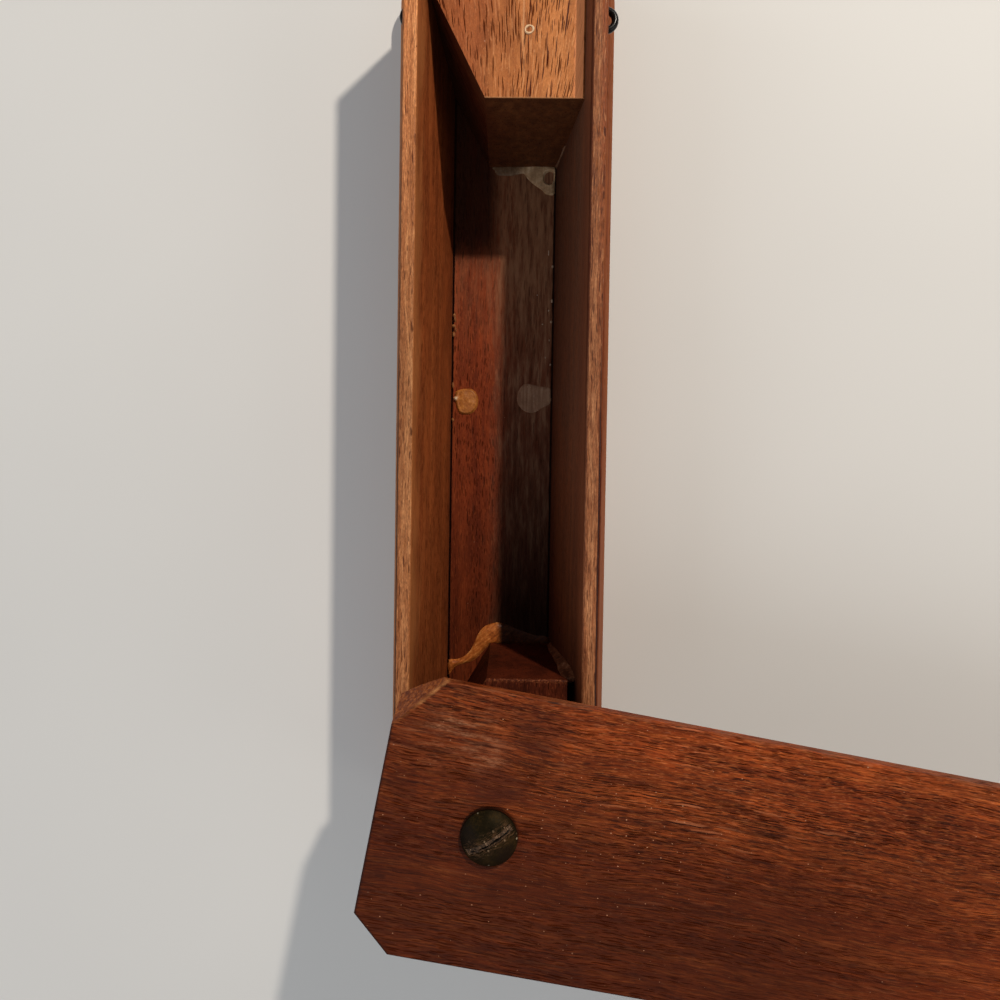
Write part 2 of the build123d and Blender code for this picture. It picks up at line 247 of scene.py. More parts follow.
def wood_core(t, P, N, seed, stops, pore_col, pore=(0.6, 5.2, 0.08, 0.36), small=(0.42, 2.8, 0.02, 0.34), pore_strength=0.8,
              small_strength=0.6, wave=1.0, curl=0.35, streak=0.4, fine=0.3, flecks=0.3, mottle=(0.8, 1.2), speck=0.0,
              crowd=(0.35, 0.62), keep=0.55, thin=0.35, glint=0.2):
    """Open-pored hardwood with its grain along Y. Returns colour, pore mask, relief, fibre, band, cross-grain position."""
    off = (seed * 37.1, seed * 11.7, seed * 5.3)
    of2 = (off[1], off[2], off[0])
    of3 = (off[2], off[0], off[1])
    x, y, z = t.xyz(P)
    nx, ny, nz = N
    b1 = t.m("SUBTRACT", t.noise(t.scaled(P, (0.020, 0.011, 0.020), off), 1.0, 2.0, 0.5), 0.5)
    b2 = t.m("SUBTRACT", t.noise(t.scaled(P, (0.13, 0.055, 0.13), of2), 1.0, 2.0, 0.5), 0.5)
    b3 = t.m("SUBTRACT", t.noise(t.scaled(P, (0.55, 0.26, 0.55), of3), 1.0, 2.0, 0.5), 0.5)
    sway = t.m("MULTIPLY_ADD", b1, 8.0 * wave, t.m("MULTIPLY_ADD", b2, 2.4 * wave, t.m("MULTIPLY", b3, curl)))
    bx = t.m("ADD", x, sway)
    bz = t.m("MULTIPLY_ADD", b2, 1.8 * wave, z)
    G = t.pack(bx, y, bz)
    U = t.m("ADD", bx, z)
    broad = t.noise(t.scaled(G, (0.07, 0.006, 0.07), off), 1.0, 3.0, 0.55, 0.3)
    band = t.noise(t.scaled(G, (0.42, 0.014, 0.42), of2), 1.0, 4.0, 0.62)
    fib = t.noise(t.scaled(G, (3.4, 0.12, 3.4), of3), 1.0, 3.0, 0.6)
    f = t.m("ADD", t.m("MULTIPLY", broad, 1.0 - streak - fine), t.m("MULTIPLY", band, streak))
    f = t.m("MULTIPLY_ADD", fib, fine, f)
    col = t.ramp(f, stops)
    mo = t.noise(t.scaled(P, (0.17, 0.075, 0.17), of3), 1.0, 4.0, 0.6)
    col = gain(t, col, mo, *mottle)
    dens = t.step(t.noise(t.scaled(G, (0.22, 0.012, 0.22), of3), 1.0, 2.0, 0.5), crowd[0], crowd[1], thin, 1.0)
    end = t.step(t.m("ABSOLUTE", ny), 0.55, 0.8)
    side = t.m("SUBTRACT", 1.0, end)
    # painted glints: bright fibres between the pores
    if glint:
        gl = t.step(t.noise(t.scaled(G, (4.4, 0.9, 4.4), of2), 1.0, 2.0, 0.55), 0.58, 0.72)
        col = t.mix(t.m("MULTIPLY", gl, glint), col, stops[-1][1])
    fl = t.m("MULTIPLY", dashes(t, U, y, small[0] * 1.15, small[1] * 1.2, 0.02, 0.36, of3, 1.5), side)
    col = t.mix(t.m("MULTIPLY", fl, flecks), col, stops[-1][1])
    p1 = t.m("MULTIPLY", dashes(t, U, y, *pore, off, keep=keep), pore_strength)
    p2 = t.m("MULTIPLY", dashes(t, U, y, *small, of2, keep=keep), small_strength)
    dash = t.m("MULTIPLY", t.m("MULTIPLY", t.m("MAXIMUM", p1, p2), dens), side)
    # on end grain the pores show as dots
    dd, da, db = t.cells(t.scaled(P, (1 / 0.6, 1 / 8.0, 1 / 0.6), off))
    dots = t.m("MULTIPLY", t.step(t.m("DIVIDE", dd, t.lin(da, 0, 1, 0.05, 0.4)), 0.6, 1.05, 1.0, 0.0), t.m("MULTIPLY", end, 0.6))
    dash = t.m("MAXIMUM", dash, dots)
    col = t.mix(dash, col, pore_col)
    if speck:
        d4, r4, s4 = t.cells(t.scaled(P, (0.62, 0.45, 0.62), off))
        sp = t.step(t.m("DIVIDE", d4, t.lin(t.m("POWER", r4, 8.0), 0, 1, 0.0005, 0.10)), 0.5, 1.0, 1.0, 0.0)
        col = t.mix(t.m("MULTIPLY", sp, speck), col, srgb(214, 178, 148))
    h = t.m("MULTIPLY_ADD", dash, -1.0, t.m("MULTIPLY", fib, 0.35))
    return col, dash, h, fib, band, U


def finish_wood(t, col, dash, h, fib, rough=(0.52, 0.68), bump=0.4, dist=0.12, spec=0.12):
    b = t.bsdf
    t.put(b.inputs["Base Color"], col)
    r = t.m("MULTIPLY_ADD", dash, 0.2, t.lin(fib, 0.3, 0.7, rough[0], rough[1]), clamp=True)
    t.put(b.inputs["Roughness"], r)
    t.put(b.inputs["Specular IOR Level"], t.lin(dash, 0.0, 0.8, spec, spec * 0.15))
    t.put(b.inputs["Normal"], t.bump(h, bump, dist))
    return t.mat


def make_lid_wood():
    t = Tree("lid_wood_oiled")
    P = t.position(LID_DEG, (*PIVOT, 0.0))
    stops = [(0.30, srgb(84, 31, 10)), (0.45, srgb(120, 50, 17)), (0.56, srgb(148, 68, 26)), (0.72, srgb(196, 110, 54))]
    N = t.normal(LID_DEG)
    nx, ny, nz = N
    col, dash, h, fib, band, U = wood_core(t, P, N, 1.0, stops, srgb(48, 12, 3), pore=(0.54, 9.0, 0.13, 0.30), small=(0.40, 4.0, 0.08, 0.34),
                                           pore_strength=0.95, small_strength=0.78, wave=0.8, curl=0.5, streak=0.46, fine=0.3, flecks=0.5,
                                           mottle=(0.62, 1.34), speck=0.75, crowd=(0.34, 0.58), keep=0.5, thin=0.14, glint=0.3)
    x, y, z = t.xyz(P)
    jag = t.noise(t.scaled(P, (0.32, 0.16, 0.32), (4, 4, 4)), 1.0, 4.0, 0.62)
    soft = t.noise(t.scaled(P, (0.075, 0.045, 0.075), (7, 2, 6)), 1.0, 3.0, 0.55)
    fine_jag = t.noise(t.scaled(P, (1.3, 0.8, 1.3), (1, 9, 4)), 1.0, 3.0, 0.6)
    streaky = t.noise(t.scaled(P, (1.1, 0.16, 1.1), (3, 8, 1)), 1.0, 4.0, 0.62)
    # darker along one side and round the heel, paler along the other edge ahead of the pivot: partly the wood's own
    # tone, partly painted shade
    u = t.lin(t.m("MULTIPLY_ADD", t.m("SUBTRACT", soft, 0.5), 14.0, x), -26.0, 14.0, 1.0, 0.0)
    paler_side = t.m("MULTIPLY", t.m("POWER", u, 1.5), t.lin(t.m("MULTIPLY_ADD", t.m("SUBTRACT", soft, 0.5), 16.0, y), -5.0, 26.0, 0.50, 1.0))
    group = t.step(t.noise(t.scaled(P, (0.10, 0.035, 0.10), (9, 4, 2)), 1.0, 3.0, 0.55), 0.40, 0.60)
    more = dashes(t, U, y, 0.50, 6.0, 0.12, 0.34, (8.3, 2.9, 0.0), keep=0.6)
    col = t.mix(t.m("MULTIPLY", t.m("MULTIPLY", more, group), t.lin(paler_side, 0.0, 0.5, 0.35, 1.0)), col, srgb(44, 11, 3))
    run = t.m("MAXIMUM", blob(t, x, y, -12.0, 40.0, 9.0, 42.0, jag, 0.5), t.m("MULTIPLY", t.m("SUBTRACT", 1.0, group), 0.6))
    long_dark = dashes(t, U, y, 0.74, 22.0, 0.08, 0.28, (3.7, 6.1, 0.0), 1.0, keep=0.6)
    col = t.mix(t.m("MULTIPLY", long_dark, t.m("MAXIMUM", run, 0.4)), col, srgb(46, 10, 3))
    long_pale = dashes(t, U, y, 1.25, 18.0, 0.02, 0.26, (1.9, 8.8, 0.0), 1.5)
    col = t.mix(t.m("MULTIPLY", long_pale, t.m("MULTIPLY", run, 0.62)), col, srgb(208, 126, 84))
    lit = t.step(t.noise(t.scaled(P, (3.6, 0.55, 3.6), (2, 6, 5)), 1.0, 3.0, 0.6), 0.54, 0.70)
    col = t.mix(t.m("MULTIPLY", lit, t.lin(paler_side, 0.0, 0.6, 0.08, 0.38)), col, srgb(204, 120, 74))
    # painted glints: short bright fibres
    bright = t.m("MULTIPLY", dashes(t, U, y, 0.62, 3.4, 0.01, 0.22, (4.4, 7.7, 0.0), 2.5, keep=0.3), t.lin(streaky, 0.42, 0.6))
    col = t.mix(t.m("MULTIPLY", bright, 0.35), col, srgb(214, 136, 98))
    col = t.mix(t.lin(paler_side, 0.0, 0.45, 0.38, 0.0), col, srgb(138, 54, 17))
    fibres = t.noise(t.pack(t.m("MULTIPLY", U, 1.5), t.m("MULTIPLY", y, 0.05), 0.0), 1.0, 3.0, 0.62)
    strands = t.m("MULTIPLY_ADD", t.m("SUBTRACT", fibres, 0.5), t.lin(run, 0.0, 0.8, 1.2, 2.3), 1.0)
    col = t.mix(1.0, col, strands, "MULTIPLY")
    col = gain(t, col, fib, 0.80, 1.20, 0.34, 0.66)
    # the darker side is pulled down here, partly painted shade
    tone = t.m("MULTIPLY_ADD", paler_side, 0.63, 0.262)
    far = t.step(y, 60.0, 120.0)
    tone = t.m("ADD", t.m("MULTIPLY", tone, t.m("SUBTRACT", 1.0, far)), t.m("MULTIPLY", far, 0.62))
    col = t.mix(1.0, col, tone, "MULTIPLY")
    col = t.mix(1.0, col, t.mix(t.lin(paler_side, 0.25, 0.9), (1.0, 0.97, 0.93), (0.97, 0.90, 0.84)), "MULTIPLY")
    # crisp short pores, strongest on the paler side
    crisp = dashes(t, U, y, 0.86, 4.6, 0.06, 0.30, (6.6, 1.3, 0.0), 1.4, keep=0.5)
    crisp = t.m("MULTIPLY", crisp, t.step(t.m("ABSOLUTE", ny), 0.8, 0.55))
    col = t.mix(t.m("MULTIPLY", crisp, t.lin(paler_side, 0.0, 0.5, 0.44, 0.66)), col, srgb(34, 9, 4))
    # bright dust caught in the pores, more of it ahead of the screw
    sparse = dust(t, x, y, 0.34, 0.26, 0.050, (0.0, 0.0))
    close = dust(t, x, y, 0.62, 0.44, 0.085, (3.1, 5.7))
    specks = t.m("MAXIMUM", t.m("MULTIPLY", sparse, t.lin(jag, 0.40, 0.60, 0.08, 0.62)),
                 t.m("MULTIPLY", close, t.m("MULTIPLY", blob(t, x, y, -4.0, 24.0, 17.0, 26.0, jag, 0.6), 0.75)))
    col = t.mix(t.m("MULTIPLY", specks, t.step(nz, 0.8, 0.95)), col, srgb(206, 148, 112))
    # rubbed streaks at the heel, with darker greasy patches round them
    powder = t.lin(t.noise(t.scaled(P, (3.4, 0.9, 3.4), (6, 1, 3)), 1.0, 4.0, 0.66), 0.36, 0.62, 0.15, 1.0)
    haze = t.m("MULTIPLY", t.step(streaky, 0.45, 0.68), powder)
    pale = t.m("MULTIPLY", blob(t, x, y, -18.5, -9.5, 9.0, 13.0, jag, 0.7), haze)
    col = t.mix(t.m("MULTIPLY", pale, 0.44), col, srgb(158, 98, 66))
    scuff = t.m("MULTIPLY", blob(t, x, y, -20.3, -10.2, 2.2, 6.0, fine_jag, 0.8), t.m("MULTIPLY", t.step(streaky, 0.36, 0.64), powder))
    col = t.mix(t.m("MULTIPLY", scuff, 0.34), col, srgb(190, 134, 98))
    hazy = t.m("MULTIPLY", blob(t, x, y, -16.2, -3.8, 5.2, 5.0, jag, 0.8), t.m("MULTIPLY", t.step(streaky, 0.36, 0.64), powder))
    col = t.mix(t.m("MULTIPLY", hazy, 0.34), col, srgb(168, 112, 80))
    dark = t.m("MAXIMUM", blob(t, x, y, -22.4, 6.3, 6.0, 7.0, jag, 0.7), blob(t, x, y, -9.3, -1.5, 5.5, 9.0, jag, 0.7))
    col = t.mix(t.m("MULTIPLY", dark, 0.45), col, srgb(54, 20, 11))
    # bare line rubbed along the cut corner, and the cut itself
    ax, ay = -(LID_HALF - HEEL_LEFT[1]) + LID_SIDE, -LID_HEEL
    bx, by = -LID_HALF + LID_SIDE, -LID_HEEL + HEEL_LEFT[0]
    L = math.hypot(bx - ax, by - ay)
    ux, uy = (bx - ax) / L, (by - ay) / L
    px, py = -uy, ux
    if px * (0 - ax) + py * (0 - ay) < 0:
        px, py = -px, -py
    dc = t.m("ADD", t.m("MULTIPLY", x, px), t.m("MULTIPLY_ADD", y, py, -(ax * px + ay * py)))
    al = t.m("ADD", t.m("MULTIPLY", x, ux), t.m("MULTIPLY_ADD", y, uy, -(ax * ux + ay * uy)))
    line = t.step(t.m("MULTIPLY_ADD", fine_jag, -1.1, dc), -0.45, 0.15, 1.0, 0.0)
    part = t.m("MULTIPLY", t.step(al, 5.0, 9.5, 0.12, 1.0), t.step(jag, 0.36, 0.60, 0.25, 1.0))
    top_only = t.step(z, LID_TOP - 1.6, LID_TOP - 0.6)
    col = t.mix(t.m("MULTIPLY", t.m("MULTIPLY", line, part), t.m("MULTIPLY", top_only, 0.75)), col, srgb(186, 126, 76))
    cut = t.m("MULTIPLY", t.step(dc, 0.15, -0.3), t.step(nz, 0.95, 0.7))
    rough_cut = t.noise(t.scaled(P, (1.1, 1.1, 0.8), (6, 2, 3)), 1.0, 5.0, 0.62)
    cutcol = t.ramp(rough_cut, [(0.32, srgb(84, 34, 10)), (0.5, srgb(117, 56, 21)), (0.68, srgb(162, 91, 42))])
    col = t.mix(t.m("MULTIPLY", cut, 0.95), col, cutcol)
    # painted shade on the rounded edges of the heel and along the near side
    drawn = t.m("MULTIPLY", t.m("ADD", y, LID_HEEL), LID_TAPER)
    hy = t.m("ADD", t.m("ADD", y, LID_HEEL), t.m("MULTIPLY", t.m("SUBTRACT", x, LID_SIDE), HEEL_SKEW))
    near_edge = t.m("SUBTRACT", t.m("SUBTRACT", LID_HALF + LID_SIDE, drawn), x)
    c2 = t.m("MULTIPLY", t.m("SUBTRACT", t.m("ADD", t.m("MULTIPLY", near_edge, HEEL_RIGHT[0]), t.m("MULTIPLY", t.m("ADD", y, LID_HEEL), HEEL_RIGHT[1])),
                             HEEL_RIGHT[0] * HEEL_RIGHT[1]), 1.0 / math.hypot(*HEEL_RIGHT))
    rim = t.m("MINIMUM", t.m("MINIMUM", hy, c2), t.m("ADD", near_edge, 0.15))
    rim = t.step(t.m("MULTIPLY_ADD", t.m("SUBTRACT", fine_jag, 0.5), -0.8, rim), 0.75, 0.15)
    col = t.mix(t.m("MULTIPLY", rim, t.m("MULTIPLY", t.step(nz, 0.2, 0.7), 0.75)), col, srgb(34, 12, 8))
    # painted shadow round the screw's head, heaviest on one side
    rs = t.m("SQRT", t.m("ADD", t.m("MULTIPLY", x, x), t.m("MULTIPLY", y, y)))
    head_shadow = t.step(t.m("MULTIPLY_ADD", t.m("SUBTRACT", fine_jag, 0.5), 0.5, rs), 6.10, 5.84)
    lean = t.lin(t.m("MULTIPLY_ADD", x, -0.58, t.m("MULTIPLY", y, -0.81)), -6.0, 6.0, 0.35, 1.0)
    col = t.mix(t.m("MULTIPLY", t.m("MULTIPLY", head_shadow, lean), t.m("MULTIPLY", top_only, 0.92)), col, srgb(26, 9, 3))
    # rubbed far edge, with a painted highlight line along it
    far_edge = t.m("SUBTRACT", t.m("ADD", x, LID_HALF - LID_SIDE), drawn)
    edge = t.m("MULTIPLY", t.step(t.m("MULTIPLY_ADD", fine_jag, -1.0, far_edge), -0.4, 0.15, 1.0, 0.0), t.step(jag, 0.42, 0.6))
    col = t.mix(t.m("MULTIPLY", edge, 0.25), col, srgb(150, 96, 62))
    # the underside's ridge is chalked and rubbed where it scrapes the lips
    under = t.step(nz, -0.80, -0.97)
    ridge = t.step(t.m("ABSOLUTE", t.m("SUBTRACT", x, LID_SIDE)), 9.0, 2.0)
    rubbed = t.m("MULTIPLY", t.m("MULTIPLY", under, ridge), t.step(t.noise(t.scaled(P, (0.5, 0.06, 0.5)), 1.0, 4.0, 0.6), 0.35, 0.65))
    col = t.mix(t.m("MULTIPLY", rubbed, 0.5), col, srgb(165, 112, 78))
    return finish_wood(t, col, dash, h, fib, rough=(0.50, 0.66), bump=0.5, dist=0.14, spec=0.10)


def make_wall_wood(name, seed, lip_stops, reddish, shade_tint, dashy, rub, corner_run, inner_edge_shade, lip_run):
    t = Tree(name)
    P = t.position()
    stops = [(0.28, srgb(90, 38, 14)), (0.45, srgb(121, 57, 24)), (0.58, srgb(145, 75, 35)), (0.75, srgb(176, 102, 54))]
    N = t.normal()
    nx, ny, nz = N
    col, dash, h, fib, band, U = wood_core(t, P, N, seed, stops, srgb(50, 20, 7), pore=(0.75, 5.2, 0.04, 0.32), small=(0.5, 2.6, 0.02, 0.30),
                                           pore_strength=0.75, small_strength=0.6, wave=0.6, curl=0.35, streak=0.45, fine=0.3, flecks=0.4,
                                           mottle=(0.76, 1.22), speck=0.5, glint=0.2)
    x, y, z = t.xyz(P)
    ax = t.m("ABSOLUTE", x)
    jag = t.noise(t.scaled(P, (0.9, 0.10, 0.9), (2, 7, 1)), 1.0, 3.0, 0.6)
    wide = t.noise(t.scaled(P, (0.20, 0.045, 0.20), (5, 2, 8)), 1.0, 4.0, 0.6)
    inner = t.step(t.m("SUBTRACT", ax, t.m("MULTIPLY_ADD", t.m("SUBTRACT", z, FLOOR_Z), LEAN, FLOOR_HALF)), 0.6, 0.2)
    if shade_tint:
        # painted shade: the inner face is greyed, less so towards the pivot end
        col = t.mix(t.m("MULTIPLY", inner, t.m("MULTIPLY", t.lin(wide, 0.3, 0.7, shade_tint - 0.12, shade_tint + 0.12), t.lin(y, -60.0, 0.0, 0.45, 1.0))), col, srgb(86, 65, 51))
        # redder again just under the lip
        under = t.m("MULTIPLY", inner, t.step(t.m("MULTIPLY_ADD", t.m("SUBTRACT", wide, 0.5), 12.0, z), 38.0, 47.0))
        col = t.mix(t.m("MULTIPLY", under, 0.5), col, srgb(96, 44, 30))
    # rubbed zone below the lip
    worn = t.step(t.m("MULTIPLY_ADD", t.m("SUBTRACT", wide, 0.5), 22.0, z), 39.0, 50.0)
    col = t.mix(t.m("MULTIPLY", worn, rub), col, srgb(168, 106, 60))
    # sanded lips, paler than the faces
    lip = t.m("MULTIPLY", t.step(z, LIP_Z - 1.3, LIP_Z - 0.3), t.step(nz, 0.35, 0.8))
    lipcol = t.ramp(t.m("MULTIPLY_ADD", fib, 0.45, t.m("MULTIPLY", band, 0.55)), lip_stops)
    redder = t.step(t.m("MULTIPLY_ADD", t.m("SUBTRACT", jag, 0.5), 3.0, ax), LIP_IN + 1.6, LIP_IN + 2.4)
    lipcol = t.mix(t.m("MULTIPLY", redder, t.lin(y, -40.0, 60.0, 0.15 * reddish, reddish)), lipcol, srgb(122, 60, 30))
    lipdash = dashes(t, U, y, 0.46, 9.0, 0.08, 0.36, (seed, 3.0, 7.0), keep=0.4)
    lipcol = t.mix(t.m("MULTIPLY", lipdash, dashy), lipcol, srgb(74, 30, 11))
    lipband = t.step(t.noise(t.scaled(P, (1.5, 0.045, 1.5), (seed, 4, 6)), 1.0, 3.0, 0.6), 0.50, 0.66)
    lipcol = t.mix(t.m("MULTIPLY", lipband, dashy * 0.5), lipcol, srgb(92, 42, 19))
    lipfleck = dashes(t, U, y, 0.40, 6.5, 0.02, 0.34, (seed + 5.0, 9.0, 2.0), 1.5)
    lipcol = t.mix(t.m("MULTIPLY", lipfleck, 0.5), lipcol, lip_stops[-1][1])
    # fine sanding grain, with short dark pores left open
    sand = t.noise(t.scaled(P, (3.6, 0.9, 3.6), (seed, 2, 5)), 1.0, 4.0, 0.7)
    lipcol = gain(t, lipcol, sand, 0.66, 1.34, 0.34, 0.66)
    pits = dashes(t, U, y, 0.60, 6.0, 0.02, 0.27, (seed + 2.0, 6.0, 1.0), 1.4, keep=0.6)
    lipcol = t.mix(t.m("MULTIPLY", pits, 0.85), lipcol, srgb(58, 18, 6))
    lipcol = t.mix(1.0, lipcol, t.m("MULTIPLY", t.lin(y, 0.0, 95.0, lip_run[1], lip_run[2]), t.lin(y, -62.0, -12.0, lip_run[0], 1.0)), "MULTIPLY")
    col = t.mix(lip, col, lipcol)
    # darker on the rounded outer corner, heavier towards the pivot end
    corner = t.m("MULTIPLY", t.step(ax, LIP_IN + WALL_T - 1.0, LIP_IN + WALL_T - 0.7), t.step(nz, 0.95, 0.76))
    corner = t.m("MULTIPLY", t.m("MULTIPLY", corner, t.step(nz, 0.02, 0.25)), t.step(z, LIP_Z - 2.6, LIP_Z - 1.6))
    amount = t.m("MULTIPLY", t.lin(y, *corner_run), t.step(jag, 0.25, 0.45, 0.35, 1.0))
    col = t.mix(t.m("MULTIPLY", corner, amount), col, srgb(40, 8, 3))
    if inner_edge_shade:
        # painted shade: dark line along the lip's inner edge
        di = t.m("ABSOLUTE", t.m("MULTIPLY_ADD", t.m("SUBTRACT", jag, 0.5), 0.3, t.m("SUBTRACT", ax, LIP_IN + 0.12)))
        il = t.m("MULTIPLY", t.step(di, 0.36, 0.14), t.m("MULTIPLY", t.step(z, LIP_Z - 1.5, LIP_Z - 0.9), t.lin(y, -50.0, 10.0, 0.1, inner_edge_shade)))
        col = t.mix(il, col, srgb(58, 17, 6))
    # painted shade low on the wall where it meets the floor, and on the inner face below the lip towards the pivot end
    foot = t.step(t.m("MULTIPLY_ADD", t.m("SUBTRACT", jag, 0.5), 6.0, z), FLOOR_Z + 9.0, FLOOR_Z - 1.0)
    col = t.mix(t.m("MULTIPLY", foot, 0.3), col, srgb(56, 24, 12))
    near = t.lin(y, -20.0, -72.0, 0.0 if not shade_tint else 0.14, 0.12 if not shade_tint else 0.72)
    col = t.mix(t.m("MULTIPLY", inner, t.m("MULTIPLY", near, t.step(z, LIP_Z - 0.5, LIP_Z - 7.0))), col, srgb(34, 13, 6))
    return finish_wood(t, col, dash, h, fib, rough=(0.52, 0.68), bump=0.4, dist=0.11, spec=0.14)


def make_base_wood():
    t = Tree("base_wood_oiled")
    P = t.position()
    stops = [(0.28, srgb(74, 25, 9)), (0.45, srgb(102, 38, 14)), (0.58, srgb(124, 51, 21)), (0.75, srgb(158, 78, 40))]
    N = t.normal()
    col, dash, h, fib, band, U = wood_core(t, P, N, 4.0, stops, srgb(40, 12, 4), pore=(0.7, 4.4, 0.04, 0.33), small=(0.5, 2.4, 0.02, 0.31),
                                           pore_strength=0.8, small_strength=0.6, wave=0.6, curl=0.35, streak=0.45, fine=0.3, flecks=0.4,
                                           mottle=(0.78, 1.22), speck=0.6, glint=0.2)
    x, y, z = t.xyz(P)
    ax = t.m("ABSOLUTE", x)
    jag = t.noise(t.scaled(P, (0.5, 0.2, 0.5)), 1.0, 3.0, 0.6)
    streaks = t.noise(t.scaled(P, (1.2, 0.03, 1.2), (4, 1, 9)), 1.0, 3.0, 0.6)
    nx, ny, nz = N
    endface = t.step(t.m("ABSOLUTE", ny), 0.35, 0.7)
    inside = t.m("MULTIPLY", t.step(ax, 14.6, 14.0), t.m("MULTIPLY", t.step(nz, 0.4, 0.8), t.step(t.m("ABSOLUTE", y), 117.5, 116.5)))
    mott = t.noise(t.scaled(P, (0.85, 0.10, 0.85), (4, 1, 9)), 1.0, 5.0, 0.66)
    # dust and painted shade: the right half of the floor, where shadow falls, is greyer
    dust = t.m("MULTIPLY", t.step(t.m("MULTIPLY_ADD", t.m("SUBTRACT", jag, 0.5), 6.0, x), -5.0, 5.0), t.lin(mott, 0.35, 0.65, 0.6, 0.9))
    film = t.ramp(mott, [(0.34, srgb(66, 44, 31)), (0.5, srgb(104, 71, 52)), (0.66, srgb(136, 102, 78))])
    col = t.mix(t.m("MULTIPLY", inside, dust), col, film)
    # painted light: the far end of the floor is paler, more so on the right
    far_floor_light = t.m("MULTIPLY", t.step(y, 0.0, 45.0), t.step(mott, 0.36, 0.60, 0.3, 1.0))
    col = t.mix(t.m("MULTIPLY", t.m("MULTIPLY", inside, far_floor_light), t.step(x, -7.0, 3.0, 0.25, 0.7)), col, srgb(140, 99, 70))
    lines = dashes(t, U, y, 0.8, 8.0, 0.04, 0.26, (5.0, 1.0, 0.0), keep=0.4)
    col = t.mix(t.m("MULTIPLY", t.m("MULTIPLY", inside, lines), 0.5), col, srgb(40, 16, 8))
    # painted shade in the closed corner beside the front block
    corner_shade = t.m("MULTIPLY", t.step(t.m("MULTIPLY_ADD", t.m("SUBTRACT", jag, 0.5), 5.0, y), 33.0, 45.0), t.step(t.m("MULTIPLY_ADD", t.m("SUBTRACT", jag, 0.5), 3.0, x), 0.5, -5.0))
    col = t.mix(t.m("MULTIPLY", t.m("MULTIPLY", inside, corner_shade), 0.80), col, srgb(14, 6, 3))
    # ledges outside the walls are rubbed and paler
    out = t.m("MULTIPLY", t.step(ax, 17.0, 18.0), t.m("SUBTRACT", 1.0, endface))
    col = t.mix(t.m("MULTIPLY", out, t.lin(streaks, 0.36, 0.64, 0.1, 0.85)), col, srgb(166, 98, 58))
    west = t.m("MULTIPLY", t.step(x, -17.5, -18.5), t.m("SUBTRACT", 1.0, endface))
    col = t.mix(t.m("MULTIPLY", west, t.lin(jag, 0.35, 0.65, 0.5, 0.85)), col, srgb(200, 146, 106))
    east = t.m("MULTIPLY", t.step(x, 17.0, 18.0), t.m("SUBTRACT", 1.0, endface))
    col = t.mix(east, col, t.lin(y, -75.0, -40.0, 0.95, 0.70), "MULTIPLY")
    # darker line on the right ledge short of its outer edge, towards the pivot end
    ledge_line = t.m("MULTIPLY", east, t.m("MULTIPLY", t.step(t.m("MULTIPLY_ADD", t.m("SUBTRACT", jag, 0.5), 0.8, x), 28.9, 28.3), t.step(nz, 0.5, 0.9)))
    col = t.mix(t.m("MULTIPLY", ledge_line, t.lin(y, 20.0, -30.0, 0.0, 0.8)), col, srgb(52, 12, 5))
    greyed = t.m("MULTIPLY", east, t.m("MULTIPLY", t.step(x, 28.4, 29.0), t.lin(y, 10.0, -60.0, 0.15, 0.75)))
    col = t.mix(greyed, col, srgb(148, 100, 80))
    # painted shade on the floor towards the pivot end, heavier on the right
    col = t.mix(t.m("MULTIPLY", inside, t.m("MULTIPLY", t.lin(y, 8.0, -62.0, 0.0, 0.84), t.step(x, -4.0, 4.0, 0.55, 1.0))), col, srgb(20, 7, 3))
    # dirt in the open seams beside the walls
    seam = t.m("MULTIPLY", t.step(t.m("MULTIPLY_ADD", t.m("SUBTRACT", jag, 0.5), 0.9, ax), FLOOR_HALF - 0.75, FLOOR_HALF - 0.35), t.step(ax, FLOOR_HALF + 1.2, FLOOR_HALF + 0.2))
    seam = t.m("MULTIPLY", seam, t.m("MULTIPLY", t.step(t.m("ABSOLUTE", y), 117.0, 115.0), t.step(z, 6.8, 7.0)))
    col = t.mix(t.m("MULTIPLY", seam, 0.92), col, srgb(26, 6, 3))
    # rubbed outer edges
    edge = t.step(t.m("MULTIPLY_ADD", jag, -1.2, t.m("SUBTRACT", 30.0, ax)), -0.2, 0.5, 1.0, 0.0)
    col = t.mix(t.m("MULTIPLY", edge, 0.4), col, srgb(128, 76, 46))
    return finish_wood(t, col, dash, h, fib, rough=(0.55, 0.72), bump=0.4, dist=0.1, spec=0.09)


